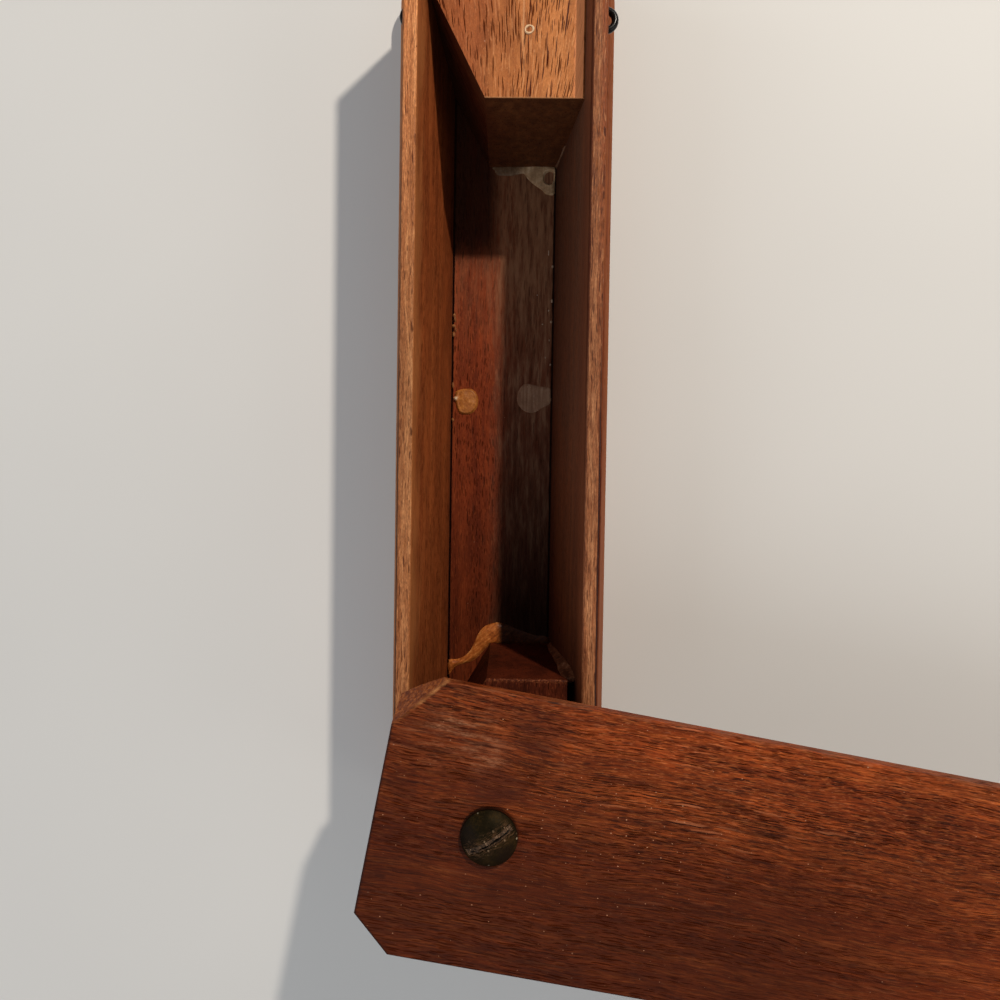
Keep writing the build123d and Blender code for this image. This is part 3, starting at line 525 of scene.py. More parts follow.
def make_front_wood():
    t = Tree("front_block_open_pored")
    Q = t.position()
    qx, qy, qz = t.xyz(Q)
    # the grain spreads a little towards the front end
    P = t.pack(t.m("DIVIDE", qx, t.m("MULTIPLY_ADD", t.m("SUBTRACT", qy, FRONT_Y), 0.0105, 1.0)), qy, qz)
    stops = [(0.28, srgb(128, 68, 31)), (0.45, srgb(160, 95, 50)), (0.58, srgb(180, 112, 62)), (0.75, srgb(212, 148, 97))]
    N = t.normal()
    nx, ny, nz = N
    col, dash, h, fib, band, U = wood_core(t, P, N, 6.0, stops, srgb(66, 20, 4), pore=(0.70, 16.0, 0.10, 0.21), small=(0.60, 9.0, 0.04, 0.22),
                                           pore_strength=1.0, small_strength=0.9, wave=0.7, curl=0.34, streak=0.45, fine=0.3, flecks=0.45,
                                           mottle=(0.82, 1.16), speck=0.5, crowd=(0.24, 0.46), keep=0.85, thin=0.5, glint=0.4)
    x, y, z = qx, qy, qz
    wide = t.noise(t.scaled(Q, (0.09, 0.05, 0.09), (5, 2, 8)), 1.0, 3.0, 0.6)
    jag = t.noise(t.scaled(Q, (0.9, 0.25, 0.9), (1, 5, 2)), 1.0, 2.0, 0.5)
    # longer, closer pores in the paler half
    right = t.step(t.m("MULTIPLY_ADD", t.m("SUBTRACT", wide, 0.5), 10.0, x), -1.0, 6.0)
    drawn = t.m("MAXIMUM", dashes(t, U, y, 0.92, 20.0, 0.12, 0.19, (2.6, 4.3, 0.0), keep=0.95), dashes(t, U, y, 0.75, 11.0, 0.07, 0.21, (7.1, 1.2, 0.0), keep=0.9))
    drawn = t.m("MULTIPLY", t.m("MULTIPLY", drawn, right), t.step(nz, 0.5, 0.9))
    col = t.mix(drawn, col, srgb(66, 20, 4))
    sand = t.noise(t.scaled(Q, (3.2, 1.6, 3.2), (8, 2, 5)), 1.0, 4.0, 0.7)
    col = gain(t, col, sand, 0.84, 1.16, 0.35, 0.65)
    # redder towards the slanted side
    left = t.step(t.m("MULTIPLY_ADD", t.m("SUBTRACT", wide, 0.5), 22.0, x), 5.0, -7.0)
    col = t.mix(1.0, col, t.mix(left, (1.0, 1.0, 1.0), (0.74, 0.61, 0.62)), "MULTIPLY")
    # painted shade: the upright faces are darkened, the outer end face less, the top left pale
    side = t.step(nz, 0.75, 0.35)
    side_mottle = t.noise(t.scaled(Q, (0.5, 0.2, 0.5), (3, 6, 1)), 1.0, 4.0, 0.62)
    outer = t.step(ny, 0.3, 0.7)
    col = t.mix(t.m("MULTIPLY", side, t.m("SUBTRACT", t.lin(side_mottle, 0.32, 0.68, 0.70, 0.90), t.m("MULTIPLY", outer, 0.30))), col, srgb(58, 31, 20))
    # pale rubbed front edge of the top
    rim = t.m("MULTIPLY", t.step(t.m("MULTIPLY_ADD", t.m("SUBTRACT", jag, 0.5), 0.5, t.m("SUBTRACT", y, FRONT_Y)), 0.45, 0.1), t.step(nz, 0.3, 0.8))
    col = t.mix(t.m("MULTIPLY", rim, 0.45), col, srgb(206, 150, 104))
    # painted light: paler strip beside the right wall, over the wall's shadow on the top
    lit_strip = t.m("MULTIPLY", t.step(t.m("MULTIPLY_ADD", t.m("SUBTRACT", jag, 0.5), 0.7, x), 15.7, 16.5), t.step(nz, 0.6, 0.9))
    col = t.mix(t.m("MULTIPLY", lit_strip, 0.70), col, srgb(246, 156, 102))
    # pale line of dried finish along the grain
    dx = t.m("ABSOLUTE", t.m("MULTIPLY_ADD", t.m("SUBTRACT", jag, 0.5), 0.8, t.m("SUBTRACT", x, 4.2)))
    stripe = t.m("MULTIPLY", t.step(dx, 0.30, 0.06), t.m("MULTIPLY", t.step(y, 66.0, 72.0), t.step(nz, 0.5, 0.9)))
    col = t.mix(t.m("MULTIPLY", stripe, t.lin(jag, 0.35, 0.65, 0.08, 0.34)), col, srgb(222, 176, 130))
    return finish_wood(t, col, dash, h, fib, rough=(0.50, 0.66), bump=0.55, dist=0.16, spec=0.12)


def make_pivot_wood():
    t = Tree("pivot_block_dark")
    P = t.position()
    stops = [(0.28, srgb(46, 15, 6)), (0.45, srgb(64, 23, 10)), (0.58, srgb(80, 31, 14)), (0.75, srgb(116, 54, 28))]
    N = t.normal()
    col, dash, h, fib, band, U = wood_core(t, P, N, 8.0, stops, srgb(22, 7, 2), pore=(0.6, 3.8, 0.04, 0.36), small=(0.42, 2.2, 0.02, 0.34),
                                           pore_strength=0.8, small_strength=0.65, wave=0.8, curl=0.5, streak=0.4, fine=0.3, flecks=0.5,
                                           mottle=(0.66, 1.30), speck=0.6, glint=0.3)
    x, y, z = t.xyz(P)
    jag = t.noise(t.scaled(P, (0.8, 0.8, 0.8), (3, 1, 2)), 1.0, 3.0, 0.62)
    grit = t.noise(t.scaled(P, (2.4, 2.4, 2.4), (8, 3, 5)), 1.0, 3.0, 0.6)
    # rubbed, dented top edge of the inner face
    d = t.m("ADD", t.m("ABSOLUTE", t.m("SUBTRACT", y, PIVOT_FACE_Y)), t.m("ABSOLUTE", t.m("SUBTRACT", z, PIVOT_TOP)))
    edge = t.m("MULTIPLY", t.step(t.m("MULTIPLY_ADD", jag, -1.1, d), -0.15, 0.4, 1.0, 0.0), t.step(jag, 0.36, 0.56, 0.25, 1.0))
    edge = t.m("MULTIPLY", edge, t.step(grit, 0.44, 0.64, 0.05, 1.0))
    col = t.mix(t.m("MULTIPLY", edge, 0.7), col, srgb(150, 86, 52))
    return finish_wood(t, col, dash, h, fib, rough=(0.50, 0.68), bump=0.5, dist=0.14, spec=0.10)


# ================================================================== metals
def make_screw_metal():
    t = Tree("screw_dark_brass")
    P = t.position(0.0, (*PIVOT, 0.0))
    x, y, z = t.xyz(P)
    a = math.radians(SLOT_DEG)
    across = t.m("ADD", t.m("MULTIPLY", x, -math.sin(a)), t.m("MULTIPLY", y, math.cos(a)))
    along = t.m("ADD", t.m("MULTIPLY", x, math.cos(a)), t.m("MULTIPLY", y, math.sin(a)))
    rad = t.m("SQRT", t.m("ADD", t.m("MULTIPLY", x, x), t.m("MULTIPLY", y, y)))
    patch = t.noise(t.scaled(P, (0.35, 0.35, 0.35), (2, 3, 4)), 1.0, 4.0, 0.6)
    grit = t.noise(t.scaled(P, (2.6, 2.6, 2.6)), 1.0, 4.0, 0.65)
    col = t.ramp(t.m("MULTIPLY_ADD", grit, 0.3, t.m("MULTIPLY", patch, 0.7)),
                 [(0.34, srgb(11, 7, 2)), (0.5, srgb(21, 15, 5)), (0.66, srgb(46, 32, 12))])
    # darker, purplish towards opposite sides
    shade = t.m("MAXIMUM", blob(t, x, y, -4.2, 0.6, 2.6, 3.4, grit, 0.5), blob(t, x, y, 3.4, -2.6, 2.6, 3.0, grit, 0.5))
    col = t.mix(t.m("MULTIPLY", shade, 0.65), col, srgb(19, 11, 10))
    # browner below the slot
    col = t.mix(t.m("MULTIPLY", t.step(across, 0.5, -3.0), 0.18), col, srgb(54, 36, 18))
    # driver wear beside the slot
    slot_d = t.m("SUBTRACT", t.m("ABSOLUTE", across), 0.7)
    scr = t.noise(t.pack(t.m("MULTIPLY", along, 0.8), t.m("MULTIPLY", across, 3.0), 0.0), 1.0, 4.0, 0.7)
    wear = t.m("MULTIPLY", t.step(t.m("MULTIPLY_ADD", t.m("SUBTRACT", grit, 0.5), 3.0, slot_d), 1.9, -0.2), t.step(scr, 0.44, 0.62))
    wear = t.m("MULTIPLY", wear, t.step(z, 68.2, 68.8))
    col = t.mix(t.m("MULTIPLY", wear, 0.55), col, srgb(100, 70, 47))
    # pale grit caught along the slot
    dg, rg, sg = t.cells(t.scaled(P, (1.25, 1.25, 1.25), (7, 2, 9)))
    caught = t.step(t.m("DIVIDE", dg, t.lin(t.m("POWER", rg, 2.5), 0, 1, 0.01, 0.42)), 0.55, 1.0, 1.0, 0.0)
    caught = t.m("MULTIPLY", caught, t.step(t.m("ABSOLUTE", across), 2.4, 1.0))
    col = t.mix(t.m("MULTIPLY", caught, 0.55), col, srgb(140, 114, 88))
    # painted glints: bright nicks on the rim, also smoother there
    d, r, s = t.cells(t.scaled(P, (0.9, 0.9, 0.9), (3, 6, 1)))
    rim_glint = t.m("MULTIPLY", t.step(t.m("DIVIDE", d, t.lin(t.m("POWER", r, 3.0), 0, 1, 0.01, 0.32)), 0.4, 1.0, 1.0, 0.0), t.step(rad, 4.5, 5.4))
    col = t.mix(t.m("MULTIPLY", rim_glint, 0.62), col, srgb(182, 168, 142))
    # painted shade in the foot of the rim
    foot = t.step(t.m("MULTIPLY_ADD", t.m("SUBTRACT", grit, 0.5), 0.5, z), 68.25, 67.9)
    col = t.mix(t.m("MULTIPLY", foot, 0.8), col, srgb(20, 13, 7))
    b = t.bsdf
    t.put(b.inputs["Base Color"], col)
    t.put(b.inputs["Metallic"], t.m("SUBTRACT", 0.16, t.m("MULTIPLY", wear, 0.08)))
    t.put(b.inputs["Roughness"], t.m("MULTIPLY_ADD", rim_glint, -0.2, t.lin(grit, 0.3, 0.7, 0.46, 0.64), clamp=True))
    b.inputs["Specular IOR Level"].default_value = 0.07
    b.inputs["Specular Tint"].default_value = (1.0, 0.86, 0.62, 1.0)
    hgt = t.m("MULTIPLY_ADD", wear, -0.5, t.m("MULTIPLY", grit, 0.5))
    t.put(b.inputs["Normal"], t.bump(hgt, 0.4, 0.09))
    return t.mat


def make_dirt():
    t = Tree("slot_dirt_brown")
    P = t.position(0.0, (*PIVOT, 0.0))
    n1 = t.noise(t.scaled(P, (0.9, 0.9, 0.9), (2, 7, 4)), 1.0, 4.0, 0.65)
    n2 = t.noise(t.scaled(P, (4.2, 4.2, 4.2)), 1.0, 3.0, 0.6)
    f = t.m("MULTIPLY_ADD", n2, 0.5, t.m("MULTIPLY", n1, 0.5))
    x, y, z = t.xyz(P)
    crown = t.m("SQRT", t.m("SUBTRACT", 60.03, t.m("ADD", t.m("MULTIPLY", x, x), t.m("MULTIPLY", y, y))))
    # painted shade: the deepest dirt in the slot goes near black
    deep_shade = t.step(t.m("SUBTRACT", t.m("SUBTRACT", z, 62.852), crown), -0.42, -0.75)
    col = t.ramp(f, [(0.36, srgb(28, 19, 10)), (0.5, srgb(62, 43, 27)), (0.58, srgb(96, 70, 50)), (0.66, srgb(168, 140, 112))])
    col = t.mix(t.m("MULTIPLY", deep_shade, 0.95), col, srgb(9, 6, 3))
    b = t.bsdf
    t.put(b.inputs["Base Color"], col)
    t.put(b.inputs["Roughness"], t.lin(n2, 0.3, 0.7, 0.6, 0.85))
    b.inputs["Specular IOR Level"].default_value = 0.25
    t.put(b.inputs["Normal"], t.bump(f, 0.7, 0.15))
    return t.mat


def make_wire(name, stops, metallic, rough, scale=1.8, bump=0.25, spec=0.5):
    t = Tree(name)
    P = t.position()
    n1 = t.noise(t.scaled(P, (scale * 0.35,) * 3, (1, 2, 3)), 1.0, 3.0, 0.6)
    n2 = t.noise(t.scaled(P, (scale * 2.6, scale * 0.9, scale * 2.6)), 1.0, 4.0, 0.65)
    f = t.m("MULTIPLY_ADD", n2, 0.45, t.m("MULTIPLY", n1, 0.55))
    b = t.bsdf
    t.put(b.inputs["Base Color"], t.ramp(f, stops))
    b.inputs["Metallic"].default_value = metallic
    b.inputs["Specular IOR Level"].default_value = spec
    t.put(b.inputs["Roughness"], t.lin(n2, 0.3, 0.7, rough[0], rough[1]))
    t.put(b.inputs["Normal"], t.bump(n2, bump, 0.05))
    return t.mat


# ================================================================== glue
def make_glue(name, stops, rough=(0.32, 0.55), sss=0.1, grain=0.0, nub=None, film_and_shade=None, spec=0.25, drag=None):
    t = Tree(name)
    P = t.position()
    x, y, z = t.xyz(P)
    n1 = t.noise(t.scaled(P, (0.34, 0.34, 0.34), (5, 1, 2)), 1.0, 4.0, 0.62)
    n2 = t.noise(t.scaled(P, (1.5, 1.5, 1.5)), 1.0, 4.0, 0.62)
    f = t.m("MULTIPLY_ADD", n2, 0.4, t.m("MULTIPLY", n1, 0.6))
    if grain:
        # the wood under a thin film shows through as streaks
        g = t.noise(t.scaled(P, (1.1, 0.05, 1.1), (3, 3, 3)), 1.0, 4.0, 0.6)
        f = t.m("ADD", t.m("MULTIPLY", f, 1.0 - grain), t.m("MULTIPLY", g, grain))
    if drag is not None:
        # drawn out in streaks along one direction
        turned = t.scaled(P, (1.0, 1.0, 1.0), rot=(0, 0, math.radians(-drag)))
        pulled = t.noise(t.scaled(turned, (0.16, 1.05, 1.05), (2, 5, 1)), 1.0, 4.0, 0.62)
        f = t.m("MULTIPLY_ADD", t.m("SUBTRACT", pulled, 0.5), 0.75, f)
    col = t.ramp(f, stops)
    # small bubbles
    d, r, s = t.cells(t.scaled(P, (1.1, 1.1, 1.1)))
    bub = t.step(t.m("DIVIDE", d, t.lin(t.m("POWER", r, 4.0), 0, 1, 0.001, 0.26)), 0.6, 1.0, 1.0, 0.0)
    col = t.mix(t.m("MULTIPLY", bub, 0.35), col, stops[-1][1])
    if nub:
        col = t.mix(t.m("MULTIPLY", blob(t, x, y, nub[0], nub[1], nub[2], nub[2]), 0.75), col, srgb(226, 200, 168))
    if film_and_shade:
        # runs out into a thin, dirty film; on the bead this is painted shade where it lies in shadow
        a, b, dark, amount = film_and_shade
        thin = t.step(t.m("MULTIPLY_ADD", t.m("SUBTRACT", n1, 0.5), 2.5, x), a, b)
        col = t.mix(t.m("MULTIPLY", thin, t.lin(n2, 0.3, 0.7, amount, amount * 0.85)), col, dark)
    b = t.bsdf
    t.put(b.inputs["Base Color"], col)
    t.put(b.inputs["Roughness"], t.lin(n2, 0.3, 0.7, rough[0], rough[1]))
    b.inputs["Specular IOR Level"].default_value = spec
    b.inputs["Subsurface Weight"].default_value = sss
    b.inputs["Subsurface Radius"].default_value = (0.0012, 0.0007, 0.0004)
    t.put(b.inputs["Normal"], t.bump(t.m("MULTIPLY_ADD", bub, -0.5, n2), 0.3, 0.15))
    return t.mat


def set_mat(node, mat):
    o = NODES[node]
    o.data.materials.clear()
    o.data.materials.append(mat)


set_mat("paddle_lid", make_lid_wood())
set_mat("left_side_wall", make_wall_wood("left_wall_wood", 2.0,
        [(0.32, srgb(112, 63, 33)), (0.5, srgb(146, 91, 54)), (0.68, srgb(190, 132, 86))], 0.25, 0.0, 0.40, 0.55, (90.0, -30.0, 0.4, 0.8), 0.0, (1.26, 0.86, 1.75)))
set_mat("right_side_wall", make_wall_wood("right_wall_wood", 3.0,
        [(0.32, srgb(92, 49, 27)), (0.5, srgb(138, 84, 52)), (0.68, srgb(190, 133, 91))], 0.8, 0.68, 0.6, 0.14, (25.0, -15.0, 0.08, 1.0), 0.8, (1.20, 0.86, 1.04)))
set_mat("base_board", make_base_wood())
set_mat("front_end_block", make_front_wood())
set_mat("pivot_end_block", make_pivot_wood())
set_mat("pivot_screw", make_screw_metal())
set_mat("pivot_spring", make_wire("spring_wire", [(0.35, srgb(120, 118, 112)), (0.5, srgb(165, 162, 155)), (0.65, srgb(196, 194, 188))], 1.0, (0.25, 0.42)))
set_mat("spring_washer", make_wire("washer_brass", [(0.35, srgb(110, 80, 40)), (0.5, srgb(160, 124, 70)), (0.65, srgb(190, 156, 98))], 1.0, (0.3, 0.5)))
EYE = make_wire("eye_black_enamel", [(0.35, srgb(5, 5, 6)), (0.5, srgb(9, 9, 10)), (0.68, srgb(24, 19, 14))], 0.0, (0.16, 0.30), bump=0.12, spec=0.22)
set_mat("left_screw_eye", EYE)
set_mat("right_screw_eye", EYE)
AMBER = make_glue("glue_amber", [(0.3, srgb(122, 66, 24)), (0.48, srgb(154, 91, 37)), (0.6, srgb(180, 114, 52)), (0.72, srgb(212, 154, 90))], nub=(-13.05, -0.9, 0.75))
# painted shade: the bead darkens to a dull brown to the right, where it lies in shadow
BEADED = make_glue("glue_amber_bead", [(0.28, srgb(108, 52, 19)), (0.46, srgb(160, 87, 36)), (0.58, srgb(190, 113, 54)), (0.72, srgb(226, 164, 100))],
                   rough=(0.30, 0.48), film_and_shade=(-0.6, 1.6, srgb(48, 25, 14), 0.95), spec=0.22, drag=40.0)
GREY = make_glue("glue_greyed", [(0.3, srgb(104, 74, 55)), (0.48, srgb(134, 102, 80)), (0.6, srgb(158, 127, 103)), (0.72, srgb(190, 163, 138))],
                 rough=(0.45, 0.65), grain=0.6, spec=0.12)
PALE = make_glue("glue_whitish", [(0.3, srgb(122, 94, 66)), (0.48, srgb(172, 141, 106)), (0.6, srgb(204, 176, 140)), (0.72, srgb(232, 210, 180))],
                 grain=0.3, film_and_shade=(7.0, 3.0, srgb(76, 52, 37), 0.85), spec=0.12)
CORNER = make_glue("glue_corner", [(0.32, srgb(50, 24, 13)), (0.46, srgb(90, 50, 31)), (0.56, srgb(134, 87, 60)), (0.68, srgb(210, 168, 134))],
                   rough=(0.3, 0.5), grain=0.3, spec=0.15)
THREAD = make_glue("glue_thread", [(0.3, srgb(92, 62, 44)), (0.48, srgb(120, 88, 66)), (0.6, srgb(144, 112, 88)), (0.72, srgb(178, 148, 122))],
                   rough=(0.4, 0.6), spec=0.12)
DIRT = make_dirt()


# ================================================================== glue shapes
def wall_in(z):
    return FLOOR_HALF + (z - FLOOR_Z) * LEAN


def heap(name, x0, x1, y0, y1, step, height, mat, node=None, base=FLOOR_Z, sink=0.12):
    """A closed low heap on the floor: height(x, y) in mm above it, and below zero outside the heap."""
    nx = int(round((x1 - x0) / step)) + 1
    ny = int(round((y1 - y0) / step)) + 1
    H = [[height(x0 + i * step, y0 + j * step) for i in range(nx)] for j in range(ny)]
    keep = set()
    for j in range(ny - 1):
        for i in range(nx - 1):
            if max(H[j][i], H[j][i + 1], H[j + 1][i], H[j + 1][i + 1]) > 0.0:
                keep.add((i, j))
    used = {}
    verts, faces = [], []

    def vid(i, j, low):
        k = (i, j, low)
        if k not in used:
            z = base - sink - 0.15 if low else base + max(H[j][i], -sink)
            used[k] = len(verts)
            verts.append(((x0 + i * step) * MM, (y0 + j * step) * MM, z * MM))
        return used[k]

    for (i, j) in sorted(keep):
        faces.append((vid(i, j, 0), vid(i + 1, j, 0), vid(i + 1, j + 1, 0), vid(i, j + 1, 0)))
        faces.append((vid(i, j, 1), vid(i, j + 1, 1), vid(i + 1, j + 1, 1), vid(i + 1, j, 1)))
        for (di, dj, a, b) in ((0, -1, (i, j), (i + 1, j)), (1, 0, (i + 1, j), (i + 1, j + 1)),
                               (0, 1, (i + 1, j + 1), (i, j + 1)), (-1, 0, (i, j + 1), (i, j))):
            if (i + di, j + dj) not in keep:
                faces.append((vid(*b, 0), vid(*a, 0), vid(*a, 1), vid(*b, 1)))
    me = bpy.data.meshes.new(name)
    me.from_pydata(verts, [], faces)
    me.validate()
    for p in me.polygons:
        p.use_smooth = True
    o = bpy.data.objects.new(name, me)
    scene.collection.objects.link(o)
    me.materials.append(mat)
    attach(o, "box")
    if node:
        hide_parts(node)
    return o


def rnd(x, y, s, k=0.0):
    return mnoise.noise(Vector((x * s + k, y * s - k, k * 0.7)))


def round_outline(points, n=6):
    """Closed smooth line through the points."""
    out, m = [], len(points)
    for i in range(m):
        p0, p1, p2, p3 = points[i - 1], points[i], points[(i + 1) % m], points[(i + 2) % m]
        for k in range(n):
            u = k / n
            out.append(tuple(0.5 * (2 * p1[c] + (p2[c] - p0[c]) * u + (2 * p0[c] - 5 * p1[c] + 4 * p2[c] - p3[c]) * u * u
                                    + (3 * p1[c] - p0[c] - 3 * p2[c] + p3[c]) * u ** 3) for c in (0, 1)))
    return out


def inside_by(poly, x, y):
    """Distance in from the outline, below zero outside."""
    best, odd = 1e9, False
    m = len(poly)
    for i in range(m):
        ax, ay = poly[i]
        bx, by = poly[(i + 1) % m]
        ex, ey = bx - ax, by - ay
        L2 = ex * ex + ey * ey or 1e-9
        u = max(0.0, min(1.0, ((x - ax) * ex + (y - ay) * ey) / L2))
        best = min(best, (x - ax - u * ex) ** 2 + (y - ay - u * ey) ** 2)
        if (ay > y) != (by > y) and x < ax + (y - ay) / (by - ay) * ex:
            odd = not odd
    d = math.sqrt(best)
    return d if odd else -d


LEFT_DAB = round_outline([(-13.0, 1.1), (-11.6, 1.75), (-10.0, 1.95), (-8.3, 1.75), (-7.1, 0.5), (-6.65, -1.3), (-7.1, -3.5), (-8.5, -5.0),
                          (-10.4, -5.4), (-12.0, -4.9), (-12.9, -3.2), (-13.25, -1.7), (-13.7, -1.15), (-13.75, -0.6), (-13.2, -0.2)])
RIGHT_DAB = round_outline([(4.3, -0.9), (4.7, 1.4), (5.6, 2.9), (6.9, 3.6), (8.9, 3.3), (10.2, 3.0), (11.3, 2.85), (12.6, 2.7), (13.7, 2.3), (13.85, 0.4),
                           (13.8, -1.7), (12.9, -2.5), (11.6, -3.1), (10.2, -4.1), (8.2, -4.65), (6.2, -4.0), (4.9, -2.6)])
BEAD = round_outline([(-13.9, -75.6), (-11.6, -75.2), (-9.4, -74.2), (-7.9, -72.6), (-6.9, -70.8), (-6.3, -69.2), (-5.6, -67.7), (-4.6, -66.3), (-3.4, -65.4),
                      (-1.8, -64.8), (0.1, -64.5), (2.6, -65.1), (6.5, -66.6), (10.5, -67.9), (13.8, -68.3), (13.8, -70.6), (5.0, -70.7), (-1.6, -70.7),
                      (-3.1, -71.6), (-4.6, -73.2), (-6.2, -74.9), (-7.8, -75.9), (-9.6, -76.5), (-11.4, -77.0), (-12.7, -78.0), (-13.9, -79.6)])
PATCH = round_outline([(-2.4, 64.5), (-2.9, 63.2), (-2.2, 62.1), (-0.4, 61.9), (1.7, 61.9), (3.6, 62.3), (5.2, 62.5), (6.1, 61.4), (7.3, 60.2), (8.9, 59.0),
                       (10.4, 58.0), (11.4, 57.0), (12.6, 56.6), (13.8, 56.9), (13.9, 60.0), (13.9, 64.5)])
BLISTER = round_outline([(11.0, 60.6), (11.1, 61.9), (11.7, 62.8), (12.6, 63.1), (13.4, 62.8), (13.6, 61.4), (13.5, 60.2), (12.6, 59.6), (11.6, 59.8)])


def left_dab_height(x, y):
    d = inside_by(LEFT_DAB, x, y)
    if d <= 0:
        return d
    nub = 0.42 * math.exp(-((x + 13.1) ** 2 + (y + 0.9) ** 2) / 0.30)
    return min(1.0, 0.62 * (1 - math.exp(-d / 0.38)) + 0.16 * math.exp(-((d - 0.55) / 0.28) ** 2) + 0.06 * d + 0.10 * rnd(x, y, 0.75, 2.0) * min(1.0, d) + nub)


def right_dab_height(x, y):
    d = inside_by(RIGHT_DAB, x, y)
    if d <= 0:
        return d
    west = max(0.0, min(1.0, (8.5 - x) / 3.0))
    return 0.24 * (1 - math.exp(-d / 0.35)) + 0.05 * west * math.exp(-((d - 0.9) / 0.35) ** 2) + 0.06 * rnd(x, y, 0.6, 4.0) * min(1.0, d)


def bead_height(x, y):
    d = inside_by(BEAD, x, y)
    if d <= 0:
        return d
    d *= 1.0 + 0.3 * rnd(x, y, 0.45, 7.0)
    left_side = -2.1 - max(0.0, PIVOT_FACE_Y - y) * 0.577
    foot = max(0.0, left_side - x) if y < PIVOT_FACE_Y else math.hypot(max(0.0, -2.1 - x), y - PIVOT_FACE_Y)
    climb = 0.55 * math.exp(-foot / 0.7)
    shade = 1.0 if x < 0 else max(0.22, 1.0 - x * 0.16)
    return min(1.45, (0.95 * (1 - math.exp(-d / 0.7)) + 0.12 * rnd(x, y, 0.5, 3.0) * min(1.0, d) + climb * min(1.0, d)) * shade)


def patch_height(x, y):
    d = inside_by(PATCH, x, y)
    hole = inside_by(BLISTER, x, y)
    if hole > 0 or d <= 0:
        return max(-hole, -0.5) if hole > 0 else d
    rim = 0.22 * math.exp(-((hole + 0.4) / 0.3) ** 2)
    thin = 0.35 if x < 5.0 else 0.35 + 0.3 * min(1.0, (x - 5.0) / 3.0)
    return min(0.68, thin * (1 - math.exp(-min(d, -hole) / 0.35)) + rim * min(1.0, d) + 0.07 * rnd(x, y, 0.7, 8.0) * min(1.0, d))


heap("left_dab_glue", -14.2, -6.2, -6.2, 2.6, 0.16, left_dab_height, AMBER, "left_glue_dab")
heap("right_dab_glue", 3.8, 14.2, -5.2, 4.2, 0.18, right_dab_height, GREY, "right_glue_dab")
heap("pivot_block_bead_glue", -14.3, 14.2, -80.2, -64.0, 0.22, bead_height, BEADED, "pivot_block_glue_bead")
heap("front_block_patch_glue", -3.6, 14.1, 56.0, 64.4, 0.18, patch_height, PALE, "front_block_glue_patch")


def corner_glue():
    """Glue drawn up the corner between the pivot block's inner face and the right wall."""
    verts, faces = [], []
    rings, z0, z1 = 46, 8.2, 43.4
    loop = 0
    for i in range(rings):
        u = i / (rings - 1)
        z = z0 + (z1 - z0) * u
        bx = 14.4 + (16.7 - 14.4) * (z - 8.0) / 37.0
        wx = wall_in(z)
        taper = min(1.0, u / 0.06, (1.0 - u) / 0.10 + 0.15)
        a = (0.95 + 0.5 * rnd(z, 0.0, 0.11, 2.0) + 0.3 * rnd(z, 3.0, 0.35, 4.0)) * taper
        b = (1.3 + 0.6 * rnd(z, 5.0, 0.10, 6.0) + 0.3 * rnd(z, 8.0, 0.33, 1.0)) * taper
        ring = [(bx - a, PIVOT_FACE_Y - 0.15), (bx - a * 0.55, PIVOT_FACE_Y + 0.30 * b), (bx - a * 0.1, PIVOT_FACE_Y + 0.50 * b),
                (bx + (wx - bx) * 0.6, PIVOT_FACE_Y + 0.72 * b), (wx - 0.02, PIVOT_FACE_Y + b), (wx + 0.25, PIVOT_FACE_Y + b * 0.8),
                (wx + 0.25, PIVOT_FACE_Y - 1.2), (bx - 0.1, PIVOT_FACE_Y - 1.2)]
        loop = len(ring)
        verts += [(x * MM, y * MM, z * MM) for x, y in ring]
    for i in range(rings - 1):
        for j in range(loop):
            k = (j + 1) % loop
            faces.append((i * loop + k, i * loop + j, (i + 1) * loop + j, (i + 1) * loop + k))
    faces.append(tuple(range(loop)))
    faces.append(tuple((rings - 1) * loop + j for j in range(loop - 1, -1, -1)))
    me = bpy.data.meshes.new("pivot_corner_glue")
    me.from_pydata(verts, [], faces)
    me.validate()
    for p in me.polygons:
        p.use_smooth = len(p.vertices) == 4
    o = bpy.data.objects.new("pivot_corner_glue", me)
    scene.collection.objects.link(o)
    me.materials.append(CORNER)
    sub = o.modifiers.new("soften", "SUBSURF")
    sub.levels = 2
    sub.render_levels = 2
    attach(o, "box")


corner_glue()

def finish_ring():
    """Small raised ring of dried finish on the front block's top."""
    R, r, n, k = 0.90, 0.24, 48, 14
    verts, faces = [], []
    for i in range(n):
        a = 2 * math.pi * i / n
        rr = R * (1 + 0.08 * math.sin(2 * a + 0.6))
        tube = r * (1 + 0.22 * math.sin(3 * a + 1.0))
        for j in range(k):
            b = 2 * math.pi * j / k
            verts.append(((5.5 + (rr + tube * math.cos(b)) * math.cos(a)) * MM, (79.9 + (rr + tube * math.cos(b)) * math.sin(a)) * MM,
                          (FRONT_TOP + 0.06 + tube * math.sin(b)) * MM))
    for i in range(n):
        for j in range(k):
            faces.append((i * k + j, ((i + 1) % n) * k + j, ((i + 1) % n) * k + (j + 1) % k, i * k + (j + 1) % k))
    me = bpy.data.meshes.new("front_block_finish_ring")
    me.from_pydata(verts, [], faces)
    me.validate()
    for p in me.polygons:
        p.use_smooth = True
    o = bpy.data.objects.new("front_block_finish_ring", me)
    scene.collection.objects.link(o)
    me.materials.append(make_glue("finish_ring_pale", [(0.3, srgb(188, 148, 108)), (0.5, srgb(210, 174, 136)), (0.7, srgb(228, 200, 168))]))
    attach(o, "box")


finish_ring()

